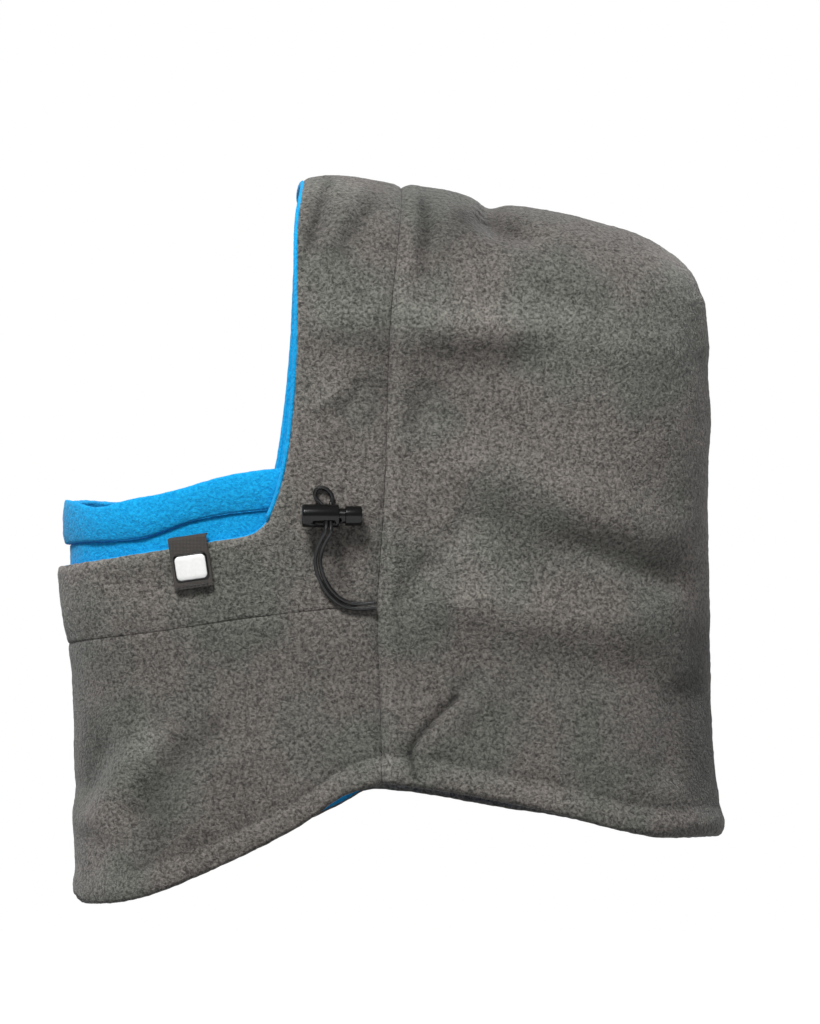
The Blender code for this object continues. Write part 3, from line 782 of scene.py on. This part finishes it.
def fleece(name, dark, light, cool=None, nap=0.0006, sheen=0.2, with_painted_shading=False):
    """Brushed fleece: curly nap clumps in bump and colour, slow mottling, and a soft sheen."""
    made, tree, shader = material(name, light, 0.95, Sheen_Weight=sheen, Sheen_Roughness=0.5,
                                  Specular_IOR_Level=0.1)
    spot = place(tree)
    wander = node(tree, "ShaderNodeTexNoise", [("Vector", spot)], Scale=420.0, Detail=1.0)
    push = node(tree, "ShaderNodeVectorMath", [(0, wander.outputs["Color"])], operation="SCALE", Scale=0.0022)
    bent = node(tree, "ShaderNodeVectorMath", [(0, spot), (1, push.outputs[0])], operation="ADD").outputs[0]
    clump = node(tree, "ShaderNodeTexNoise", [("Vector", bent)], Scale=620.0, Detail=2.5, Roughness=0.65)
    fibre = node(tree, "ShaderNodeTexNoise", [("Vector", bent)], Scale=2100.0, Detail=2.0)
    curl = node(tree, "ShaderNodeMapRange", [("Value", clump.outputs[0])],
                From_Min=0.34, From_Max=0.66, To_Min=0.0, To_Max=0.82)
    fuzz = node(tree, "ShaderNodeMapRange", [("Value", fibre.outputs[0])],
                From_Min=0.35, From_Max=0.65, To_Min=0.0, To_Max=0.18)
    height = node(tree, "ShaderNodeMath", [(0, curl.outputs[0]), (1, fuzz.outputs[0])],
                  operation="ADD").outputs[0]
    tone = mixed(tree, height, dark, light)
    if cool:
        patch = node(tree, "ShaderNodeTexNoise", [("Vector", spot)], Scale=17.0, Detail=2.0, Roughness=0.45)
        share = node(tree, "ShaderNodeMapRange", [("Value", patch.outputs[0])], From_Min=0.42, From_Max=0.60)
        tint = mixed(tree, share.outputs[0], (1, 1, 1), cool)
        tone = node(tree, "ShaderNodeMix", data_type="RGBA", blend_type="MULTIPLY", Factor=1.0,
                    links=[(6, tone), (7, tint)]).outputs[2]
    # The stored tone is painted shade and painted light, multiplied into the nap colour
    if with_painted_shading:
        stored = node(tree, "ShaderNodeAttribute", attribute_name="tone")
        tone = node(tree, "ShaderNodeVectorMath", [(0, tone), ("Scale", stored.outputs["Fac"])],
                    operation="SCALE").outputs[0]
    tree.links.new(tone, shader.inputs["Base Color"])
    bump(tree, shader, height, 0.8, nap)
    return made


def mixed(tree, factor, low, high):
    """A colour between two, by a factor."""
    mix = node(tree, "ShaderNodeMix", [("Factor", factor)], data_type="RGBA")
    mix.inputs[6].default_value = (*low, 1)
    mix.inputs[7].default_value = (*high, 1)
    return mix.outputs[2]


def colour(tree, shader, factor, low, high):
    ramp = node(tree, "ShaderNodeValToRGB", [("Fac", factor)])
    for stop, shade in zip(ramp.color_ramp.elements, (low, high)):
        stop.color = (*shade, 1)
    tree.links.new(ramp.outputs[0], shader.inputs["Base Color"])


def bump(tree, shader, height, strength, distance):
    made = node(tree, "ShaderNodeBump", [("Height", height)], Strength=strength, Distance=distance)
    tree.links.new(made.outputs[0], shader.inputs["Normal"])


def grained(name, base, scale, detail=2.0, shades=None, polish=None, relief=None, **inputs):
    """A material whose fine grain varies its colour, its roughness or its height."""
    made, tree, shader = material(name, base, **inputs)
    grain = node(tree, "ShaderNodeTexNoise", [("Vector", place(tree))], Scale=scale, Detail=detail).outputs[0]
    if shades:
        colour(tree, shader, grain, *shades)
    if polish:
        level = node(tree, "ShaderNodeMapRange", [("Value", grain)], To_Min=polish[0], To_Max=polish[1])
        tree.links.new(level.outputs[0], shader.inputs["Roughness"])
    if relief:
        bump(tree, shader, grain, *relief)
    return made


def grey_fleece():
    return fleece("outer_fleece", (0.034, 0.031, 0.028), (0.262, 0.238, 0.216),
                  cool=(0.82, 0.91, 0.88), with_painted_shading=True)


def blue_fleece(name="lining_fleece"):
    return fleece(name, (0.002, 0.235, 0.56), (0.010, 0.420, 0.82), nap=0.0004, sheen=0.1)


def braided_cord():
    return grained("elastic_cord", (0.008, 0.008, 0.008), 2600.0, 1.0, relief=(0.5, 0.0002), roughness=0.30,
                   shades=((0.003, 0.003, 0.003), (0.014, 0.014, 0.015)), Specular_IOR_Level=0.22)


def black_plastic(name="lock_plastic"):
    return grained(name, (0.0035, 0.0035, 0.0035), 1500.0, polish=(0.16, 0.28), relief=(0.15, 0.0001),
                   roughness=0.25, Specular_IOR_Level=0.18)


def woven_tape():
    made, tree, shader = material("label_weave", (0.075, 0.064, 0.056), 0.85)
    spot = place(tree)
    warp, weft = (
        node(tree, "ShaderNodeTexWave", [("Vector", spot)], bands_direction=way, Scale=420.0, Distortion=0.6)
        for way in "XZ"
    )
    cross = node(tree, "ShaderNodeMath", [(0, warp.outputs[1]), (1, weft.outputs[1])],
                 operation="MULTIPLY").outputs[0]
    colour(tree, shader, cross, (0.022, 0.019, 0.017), (0.080, 0.070, 0.062))
    bump(tree, shader, cross, 0.6, 0.0003)
    return made


def moulded_rubber():
    return grained("label_rubber", (0.85, 0.85, 0.83), 500.0, 4.0, relief=(0.2, 0.0002), roughness=0.6,
                   shades=((0.74, 0.74, 0.72), (0.92, 0.92, 0.90)))


def thread_yarn():
    return grained("sewing_thread", (0.07, 0.066, 0.06), 2500.0, roughness=0.7,
                   shades=((0.016, 0.015, 0.014), (0.050, 0.046, 0.042)))


def spring_wire():
    return grained("spring_steel", (0.55, 0.55, 0.56), 900.0, polish=(0.18, 0.34), roughness=0.25,
                   Metallic=1.0)


def dress(obj, made):
    """Gives the object one material, in its slots if it has some."""
    if obj.data.materials:
        for slot in obj.material_slots:
            slot.material = made
    else:
        obj.data.materials.append(made)


def attach(piece, made, body, node_name):
    """Dresses a piece, puts it on the body that carries it, and hides the CAD node that it shows."""
    dress(piece, made)
    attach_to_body(piece, body)
    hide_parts(node_name)


# ---------------------------------------------------------------- pieces


def make_outer(cloth):
    """The grey panels. It gives how many rows of each piece's grid its turned hem covers inside."""
    hem_rows = {}
    for name, side in SIDES.items():
        rear = panel(rear_grid(), side, left=LAPPED_SEAM, right=CLOSED_SEAM, top=CLOSED_SEAM)
        rear, hem_rows[f"rear_{name}"] = with_turned_hem(*rear, *REAR_HEM_TURN)
        face_grid, mouth_grid = face_grids()
        face, _ = panel(face_grid, side, top=CLOSED_SEAM)
        mouth, _ = panel(mouth_grid, side, left=CLOSED_SEAM)
        bib = panel(bib_grid(), side, left=CLOSED_SEAM, top=LAPPED_SEAM)
        bib, hem_rows[f"bib_{name}"] = with_turned_hem(*bib, *BIB_HEM_TURN[name])
        for part, blocks, thickness, flat, area in (
            ("rear", [rear], PANEL_THICKNESS, (0.25, 0.40), 0.085),
            ("face", [face, mouth], FACE_THICKNESS, (0.20, 0.31), 0.0218),
            ("bib", [bib], PANEL_THICKNESS, (0.225, 0.16), 0.0285),
        ):
            piece = sheet_piece(f"{part}_cloth_{name}", blocks, thickness)
            declare(piece, cloth, "outer_fleece", f"{part}_panel_{name}")
    return hem_rows


def declare(piece, made, slot, node_name):
    """Finishes a cloth panel of the hood: creases and painted shading on the outer fleece, then its nap,
    material and body.
    """
    if slot == "outer_fleece":
        settle(piece)
        press_creases(piece)
        store_painted_shading(piece)
    add_nap(piece)
    attach(piece, made, "root", node_name)


def make_lining(cloth, hem_rows):
    """The blue lining, which starts where the turned hems end and stays under every groove."""

    def relief(x, z, points):
        return np.minimum(0.5 * fold_relief(x, z), outer_relief(x, z, points))

    def layer(grid, side, closed):
        return raised(grid, side, relief, LINING_DEPTH, closed, -LINING_LAP)[0]

    for name, side in SIDES.items():
        rear = layer(rear_grid(), side, ("right", "top"))[hem_rows[f"rear_{name}"] - 1:]
        piece = sheet_piece(f"rear_lining_{name}", [rear], LINING_THICKNESS, False)
        declare(piece, cloth, "lining_fleece", f"lining_rear_{name}")
        face_grid, mouth_grid = face_grids()
        face = layer(face_grid, side, ("top",))
        mouth = layer(mouth_grid, side, ("left",))
        bib = layer(bib_grid(), side, ("left",))[hem_rows[f"bib_{name}"] - 1:]
        piece = sheet_piece(f"front_lining_{name}", [face, mouth, bib], LINING_THICKNESS, False)
        declare(piece, cloth, "lining_fleece", f"lining_front_{name}")


def make_binding(cloth):
    """The soft blue roll round the face opening, fuller at the cheeks than over the brow."""
    ring_angles = np.linspace(0, 2 * math.pi, 17)[:-1]
    rows = []
    for side in (-1.0, 1.0):
        edge = along(ease(smooth(FACE_EDGE)[:, None], side)[:, 0], crowd_end(110))
        base = on_form(edge[:, 0], edge[:, 1], side)
        base[-1, 1] = 0
        out = form_normals(base, np.full(len(base), side))
        out[-1, 1] = 0
        out = unit(out)
        forward = np.cross(unit(np.gradient(base, axis=0)), out)
        forward *= np.sign(-forward[:, :1])
        brow = step_up((edge[:, 1] + 0.040) / 0.100)[:, None]
        centre = base - out * 0.0026 + forward * (0.0004 - 0.0008 * brow)
        ring = np.stack([centre + out * 0.0021 * math.cos(a) + forward * 0.0014 * math.sin(a)
                         for a in ring_angles], axis=1)
        rows.append(ring if side < 0 else ring[-2::-1])
    rings = np.concatenate(rows)
    rings = np.concatenate([rings, rings[:, :1]], axis=1)
    obj = mesh_object("face_edge_binding", [rings])
    fill_ends(obj)
    add_nap(obj, 0.0004)
    attach(obj, cloth, "root", "face_binding")


def fill_ends(obj):
    bm = bmesh.new()
    bm.from_mesh(obj.data)
    bmesh.ops.holes_fill(bm, edges=[e for e in bm.edges if e.is_boundary], sides=0)
    bmesh.ops.recalc_face_normals(bm, faces=bm.faces)
    bm.to_mesh(obj.data)
    bm.free()


def both_sides(grid, relief, depth, dip=None):
    """Left and right halves of a piece that runs round the front in one."""
    blocks = []
    for side in SIDES.values():
        own = grid if dip is None else dip(grid, side)
        points, _ = raised(own, side, relief, depth)
        points[:, 0, 1] = 0
        blocks.append(points)
    return blocks


def rim_dip(grid, side):
    """The near side of the cuff's rim sags behind its front corner; the far side stays up."""
    x, z = grid[..., 0], grid[..., 1]
    share = np.linspace(0, 1, len(grid))[:, None]
    if side < 0:
        sag = 0.0056 * hump(x, -0.2240, 0.0150)
    else:
        sag = 0.0015 * hump(x, -0.2414, 0.0080)
    return np.stack([x, z - sag * share**1.5], axis=-1)


def make_mask(cloth):
    """The mask inside the mouth opening, and the puffed cuff turned over at its top."""

    def cuff_relief(x, z, points):
        share = np.linspace(0, 1, len(x))[:, None]
        puff = 0.0019 * np.sin(math.pi * share) ** 0.6
        return puff + 0.0007 * soft_noise(points, 45.0, 5)

    def tube_relief(x, z, points):
        return 0.0007 * soft_noise(points, 45.0, 6)

    grid = mask_grid(from_front(CUFF_FOOT), from_front(MASK_TOP), 14)
    cuff = both_sides(grid, cuff_relief, CUFF_DEPTH, rim_dip)
    piece = sheet_piece("mask_cuff_cloth", cuff, CUFF_THICKNESS)
    add_nap(piece, 0.0005)
    attach(piece, cloth, "mask", "mask_cuff")
    grid = mask_grid(from_front(MASK_FOOT), from_front(CUFF_FOOT, 0.0004), 18)
    tube = both_sides(grid, tube_relief, MASK_DEPTH)
    piece = sheet_piece("mask_tube_cloth", tube, MASK_THICKNESS)
    add_nap(piece, 0.0004)
    dress(piece, cloth)
    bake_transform(piece)
    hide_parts("mask_tube")


def hole_direction():
    return np.array([0, -math.sin(HOLE_TILT), -math.cos(HOLE_TILT)])


def lock_centre():
    height = float(form_height(np.array(LOCK_X), np.array(LOCK_Z)))
    return np.array([LOCK_X, -height - LOCK_STANDOFF, LOCK_Z])


def cord_loop():
    """The loop beyond the lock, which lies against the cloth and leans forward."""
    back = lock_centre() - hole_direction() * (BARREL_RADIUS + LOOP_START)
    half = STRAND_SPACING / 2
    climb = [(half, 0.0, 0.0), (half + 0.0014, 0.0014, 0.0024), (LOOP_SIDE, 0.0024, 0.0063)]
    climb += [(0.7 * LOOP_SIDE, 0.0028, 0.0097), (0.0, 0.0029, 0.0111)]
    loop = [(-side, out, rise) for side, out, rise in climb] + climb[-2::-1]
    loop = np.array([back + (side - LOOP_LEAN * rise, out, rise) for side, out, rise in loop])
    cloth = -form_height(loop[:, 0], loop[:, 2]) - CORD_DIAMETER / 2 - CORD_CLEARANCE
    loop[:, 1] = np.minimum(loop[:, 1], cloth)
    return loop


def drawcord_points():
    """One cord: out of the seam, through the lock, round the loop and back into the seam."""
    route = []
    for x, lift, z in CORD_ROUTE:
        height = float(form_height(np.array(x), np.array(z)))
        route.append((x, -height - CORD_DIAMETER / 2 - CORD_CLEARANCE - lift, z))
    mouth = lock_centre() + hole_direction() * (BARREL_RADIUS + STRAIGHT_STRETCH)
    route = smooth(np.vstack([route, mouth + np.array(LOCK_ENTRY), mouth]))
    middle = along(route, np.linspace(0, 1, 24))
    across = unit(np.cross(np.gradient(middle, axis=0), (0, 1, 0)))
    outer = middle + across * STRAND_SPACING / 2
    inner = middle - across * STRAND_SPACING / 2
    loop = cord_loop()
    path = np.vstack([outer, loop, inner[::-1]])
    return along(smooth(path, 8), np.linspace(0, 1, 120))


def make_cord(made):
    points = drawcord_points()
    curve = bpy.data.curves.new("elastic_drawcord", "CURVE")
    curve.dimensions = "3D"
    spline = curve.splines.new("POLY")
    spline.points.add(len(points) - 1)
    for point, co in zip(spline.points, points):
        point.co = (*co, 1)
    curve.bevel_depth = CORD_DIAMETER / 2
    curve.bevel_resolution = 6
    curve.use_fill_caps = True
    obj = add_object("elastic_drawcord", curve)
    attach(obj, made, "root", "drawcord")


def lathe(name, profile, centre, steps=64):
    """A solid turned round the X axis through centre, from (x, radius) points that start and end on it."""
    angles = np.linspace(0, 2 * math.pi, steps + 1)
    block = np.array([[(x, centre[1] + r * math.cos(a), centre[2] + r * math.sin(a)) for a in angles]
                      for x, r in profile])
    return mesh_object(name, [block], merge=2e-6)


def fillet(corner, before, after, radius, steps=5):
    """Profile points that round a corner with a quarter arc."""
    corner, before, after = (np.array(p, float) for p in (corner, before, after))
    start = corner + unit(before - corner) * radius
    end = corner + unit(after - corner) * radius
    t = np.linspace(0, 1, steps)[:, None]
    return [tuple(p) for p in (1 - t) ** 2 * start + 2 * t * (1 - t) * corner + t**2 * end]


def rounded(profile, radii):
    """The profile with the corners that have a radius rounded."""
    points = [profile[0]]
    for before, corner, after, radius in zip(profile, profile[1:], profile[2:], radii):
        points += fillet(corner, before, after, radius) if radius else [corner]
    return points + [profile[-1]]


def cut_hole(obj, low_x, high_x):
    """Cuts the tilted cord hole, an oval slot from low_x to high_x, through a lock part."""
    centre = lock_centre()
    along_hole = hole_direction()
    across = np.cross((1, 0, 0), along_hole)
    radius = HOLE_WIDTH / 2
    rim = []
    for x, turn in ((high_x - radius, -math.pi / 2), (low_x + radius, math.pi / 2)):
        for a in np.linspace(0, math.pi, 13) + turn:
            rim.append(np.array([x + radius * math.cos(a), 0, 0]) + across * radius * math.sin(a))
    rim = np.array(rim + rim[:1])
    rim[:, 1:] += centre[1:]
    cutter = mesh_object("hole_cutter", [np.array([rim - along_hole * 0.02, rim + along_hole * 0.02])])
    fill_ends(cutter)
    modify(obj, "hole", "BOOLEAN", object=cutter, operation="DIFFERENCE", solver="EXACT")
    settle(obj)
    bpy.data.objects.remove(cutter)
    holed = obj.data
    bm = bmesh.new()
    bm.from_mesh(holed)
    sharp = [e for e in bm.edges if len(e.link_faces) == 2 and e.calc_face_angle(0) > math.radians(40)]
    bmesh.ops.bevel(bm, geom=sharp, offset=0.00018, segments=2, affect="EDGES", clamp_overlap=True)
    bm.to_mesh(holed)
    bm.free()
    holed.shade_smooth()


def make_lock(plastic):
    centre = lock_centre()
    wall = BARREL_FRONT + 0.0016
    barrel = lathe("cord_lock_barrel", rounded([
        (BARREL_FRONT, 0), (BARREL_FRONT, BARREL_RADIUS), (BARREL_REAR, BARREL_RADIUS),
        (BARREL_REAR, BORE_RADIUS), (wall, BORE_RADIUS), (wall, 0),
    ], (0.0014, 0.0006, 0.0003, 0, 0)), centre)
    plunger = lathe("cord_lock_plunger", rounded([
        (PLUNGER_FRONT, 0), (PLUNGER_FRONT, PLUNGER_RADIUS), (HEAD_FRONT, PLUNGER_RADIUS),
        (HEAD_FRONT, HEAD_RADIUS), (HEAD_REAR, HEAD_RADIUS), (HEAD_REAR, 0),
    ], (0.0003, 0.0004, 0.0006, 0.0013)), centre)
    half = HOLE_LENGTH / 2
    for piece, node_name, body, extra in (
        (barrel, "lock_barrel", "lock", 0),
        (plunger, "lock_plunger", "plunger", PRESS_TRAVEL),
    ):
        cut_hole(piece, LOCK_X - half, LOCK_X + half + extra)
        attach(piece, plastic, body, node_name)
    return [barrel, plunger]


def label_frame():
    """Origin on the cloth, and the up, out and right directions of the label."""
    centre = on_form(np.array([LABEL_CENTRE[0]]), np.array([LABEL_CENTRE[1]]), -1.0)
    out = form_normals(centre, np.array([-1.0]))[0]
    up = np.array([math.sin(LABEL_TILT), 0, math.cos(LABEL_TILT)])
    up = unit(up - out * up.dot(out))
    return centre[0] + out * LABEL_STANDOFF, up, out, np.cross(up, out)


def make_label(weave, rubber, rim_rubber):
    """A woven tab folded over the mouth edge, with a plain moulded patch in a dark frame."""
    origin, up, out, right = label_frame()
    top = LABEL_HEIGHT / 2
    leaf = [(-top + t * (2 * top - TAB_BEND), TAB_LIFT + 0.0007 * (1 - t) ** 2)
            for t in np.linspace(0, 1, 22)]
    fold = [(top - TAB_BEND + TAB_BEND * math.sin(a), TAB_LIFT - TAB_BEND + TAB_BEND * math.cos(a))
            for a in np.linspace(0, math.pi / 2, 7)[1:]]
    inside = [(top, TAB_LIFT - TAB_BEND - TAB_TUCK * t) for t in np.linspace(0, 1, 6)[1:]]
    spread = np.linspace(-LABEL_WIDTH / 2, LABEL_WIDTH / 2, 20)
    curl = 0.0006 * (spread / spread[-1]) ** 4
    block = np.array([[origin + up * a + out * (b - c * max(0.0, 1 - abs(a) / top)) + right * r
                       for r, c in zip(spread, curl)] for a, b in leaf + fold + inside])
    tab = mesh_object("label_tab_weave", [block])
    modify(tab, "thickness", "SOLIDIFY", thickness=TAB_THICKNESS, offset=0)
    modify(tab, "edges", "BEVEL", width=0.0003, segments=2)
    attach(tab, weave, "root", "label_tab")
    base = origin + out * 0.0012 - up * PATCH_DROP
    for name, grow, low, high, made in (
        ("label_patch_frame", 0.0009, 0.0, 0.0008, rim_rubber),
        ("label_patch_face", 0.0, 0.0004, 0.0012, rubber),
    ):
        half_wide, half_high = PATCH_WIDTH / 2 + grow, PATCH_HEIGHT / 2 + grow
        patch = rounded_plate(name, base, (right, up, out), half_wide, half_high, low, high)
        attach(patch, made, "root", "label_patch")


def rounded_plate(name, base, axes, half_wide, half_high, low, high):
    """A plate with rounded corners and a softly rounded top edge."""
    right, up, out = axes
    rings = []
    for inset, level in (
        (0, low),
        (0, high - 0.0004),
        (0.0001, high - 0.0002),
        (0.0004, high),
        (0.0022, high + 0.0001),
    ):
        ring = []
        for sx, sy, turn in ((1, 1, 0), (-1, 1, 1), (-1, -1, 2), (1, -1, 3)):
            for a in np.linspace(0, math.pi / 2, 8) + turn * math.pi / 2:
                radius = max(PATCH_CORNER - inset, 0.0004)
                across = sx * (half_wide - inset - radius) + radius * math.cos(a)
                rise = sy * (half_high - inset - radius) + radius * math.sin(a)
                ring.append(base + right * across + up * rise + out * level)
        rings.append(ring + ring[:1])
    plate = mesh_object(name, [np.array(rings)])
    fill_ends(plate)
    return plate


def thread_piece(name, runs, made, diameter=0.0007):
    """Sewn stitches: one mesh of short rounded threads, each from one point to another."""
    verts, faces = [], []
    steps = 6
    for start, end, out in runs:
        axis = end - start
        span = np.linalg.norm(axis)
        axis /= span
        side = np.cross(axis, out)
        for t, size in ((0.0, 0.35), (0.15, 0.9), (0.5, 1.0), (0.85, 0.9), (1.0, 0.35)):
            lift = 0.0003 * math.sin(math.pi * t) - 0.0001
            centre = start + axis * span * t + out * lift
            for a in np.linspace(0, 2 * math.pi, steps + 1)[:-1]:
                verts.append(centre + (side * math.cos(a) + out * math.sin(a)) * size * diameter / 2)
        first = len(verts) - 5 * steps
        for ring in range(4):
            for k in range(steps):
                low = first + ring * steps
                faces.append((low + k, low + (k + 1) % steps, low + steps + (k + 1) % steps, low + steps + k))
        faces.append(tuple(range(first + steps - 1, first - 1, -1)))
        faces.append(tuple(range(first + 4 * steps, first + 5 * steps)))
    mesh = bpy.data.meshes.new(name)
    mesh.from_pydata([tuple(v) for v in verts], [], faces)
    mesh.shade_smooth()
    obj = add_object(name, mesh)
    dress(obj, made)
    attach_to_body(obj, "root")


def stitch_runs(curve, side, depth, pitch=0.0034, share=0.68):
    """Stitch ends along a side-view curve, sunk a little into the cloth's relief."""
    count = int(length(curve) / pitch)
    grid = ease(along(curve, np.linspace(0.004, 0.996, 2 * count))[:, None], side)[:, 0]
    x, z = grid[:, 0], grid[:, 1]
    base = on_form(x, z, side)
    normals = form_normals(base, np.full(len(base), side))
    points = base + normals * (outer_relief(x, z, base) - depth)[:, None]
    runs = []
    for i in range(0, len(points) - 1, 2):
        runs.append((points[i], points[i] + (points[i + 1] - points[i]) * 2 * share, normals[i]))
    return runs


def make_stitches(thread):
    for name, side in SIDES.items():
        runs = []
        for curve in (REAR_HEM_STITCH, BIB_HEM_STITCH):
            runs += stitch_runs(curve, side, 0.0001)
        thread_piece(f"hem_stitches_{name}", runs, thread)
    origin, up, out, right = label_frame()
    runs = []
    foot = -LABEL_HEIGHT / 2 + 0.0016
    for r in np.arange(-0.0088, 0.0088, 0.0022):
        start = origin + up * foot + right * r + out * 0.0020
        runs.append((start, start + right * 0.0015, out))
    thread_piece("label_stitches", runs, thread, 0.0005)


def make_stage():
    bpy.ops.mesh.primitive_plane_add(size=60, location=(0, 0, -0.3000))
    floor = bpy.context.object
    floor.name = "floor"
    made, _, shader = material("floor_paper", (0.93, 0.93, 0.93), 0.9)
    shader.inputs["Emission Color"].default_value = (1, 1, 1, 1)
    shader.inputs["Emission Strength"].default_value = 1.0
    dress(floor, made)
    floor.visible_diffuse = False


def make_lights():
    """White surroundings, softer on the object than they look, and a broad key light up in front."""
    world = bpy.data.worlds.new("studio")
    world.use_nodes = True
    tree = world.node_tree
    seen = tree.nodes["Background"]
    seen.inputs["Color"].default_value = (1, 1, 1, 1)
    seen.inputs["Strength"].default_value = 1.0
    fill = node(tree, "ShaderNodeBackground", Color=(0.97, 0.985, 1.0, 1))
    direction = node(tree, "ShaderNodeTexCoord").outputs["Generated"]
    upward = node(tree, "ShaderNodeSeparateXYZ", [(0, direction)]).outputs["Z"]
    overhead = node(tree, "ShaderNodeMapRange", [("Value", upward)],
                    From_Min=-1.0, From_Max=1.0, To_Min=0.22, To_Max=0.46)
    tree.links.new(overhead.outputs[0], fill.inputs["Strength"])
    path = node(tree, "ShaderNodeLightPath")
    mix = node(tree, "ShaderNodeMixShader",
               [(0, path.outputs["Is Camera Ray"]), (1, fill.outputs[0]), (2, seen.outputs[0])])
    tree.links.new(mix.outputs[0], tree.nodes["World Output"].inputs["Surface"])
    bpy.context.scene.world = world
    for name, spot, size, power in (
        ("key", (-0.80, -1.65, 1.85), 0.7, 84.0),
        ("rim", (0.9, 1.2, 1.6), 1.2, 14.0),
    ):
        data = bpy.data.lights.new(name, "AREA")
        data.size = size
        data.energy = power
        lamp = add_object(name, data)
        lamp.location = spot
        lamp.rotation_euler = (Vector(spot) - Vector((-0.04, 0, -0.06))).to_track_quat("Z", "Y").to_euler()


def make_camera():
    """A long lens from the wearer's left, a little to the front and a little below."""
    azimuth, elevation = math.radians(-3.2), math.radians(-1.6)
    target = Vector((-0.0486, 0, -0.0605))
    distance = 8.0
    metres_across = 0.4428
    back = Vector((
        math.sin(azimuth) * math.cos(elevation),
        -math.cos(azimuth) * math.cos(elevation),
        math.sin(elevation),
    ))
    data = bpy.data.cameras.new("camera")
    data.sensor_fit = "HORIZONTAL"
    data.sensor_width = 36.0
    data.lens = 36.0 * distance / metres_across
    data.clip_end = 50
    camera = add_object("camera", data)
    camera.location = target + back * distance
    camera.rotation_euler = back.to_track_quat("Z", "Y").to_euler()
    bpy.context.scene.camera = camera
    bpy.context.scene.view_settings.view_transform = "Standard"


# ---------------------------------------------------------------- the whole


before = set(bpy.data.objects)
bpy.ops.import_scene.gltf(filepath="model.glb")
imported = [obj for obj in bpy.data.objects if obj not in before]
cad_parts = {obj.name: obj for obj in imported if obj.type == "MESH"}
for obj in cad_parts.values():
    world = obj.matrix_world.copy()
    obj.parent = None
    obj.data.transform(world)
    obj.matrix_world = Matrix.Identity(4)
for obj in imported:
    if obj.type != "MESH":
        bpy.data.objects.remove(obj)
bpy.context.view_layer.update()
make_camera()
make_stage()
make_lights()
grey, blue, mask_blue = grey_fleece(), blue_fleece(), blue_fleece("mask_fleece")
cord_black, plastic, tape = braided_cord(), black_plastic(), woven_tape()
lock_pieces = make_lock(plastic)
make_cord(cord_black)
hem_rows = make_outer(grey)
make_lining(blue, hem_rows)
make_binding(blue)
make_mask(mask_blue)
make_label(tape, moulded_rubber(), black_plastic("label_frame_rubber"))
make_stitches(thread_yarn())
for cad_name, made in (
    ("cord_tunnel", blue),
    ("hood_elastic", cord_black),
    ("lock_spring", spring_wire()),
):
    dress(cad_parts[cad_name], made)
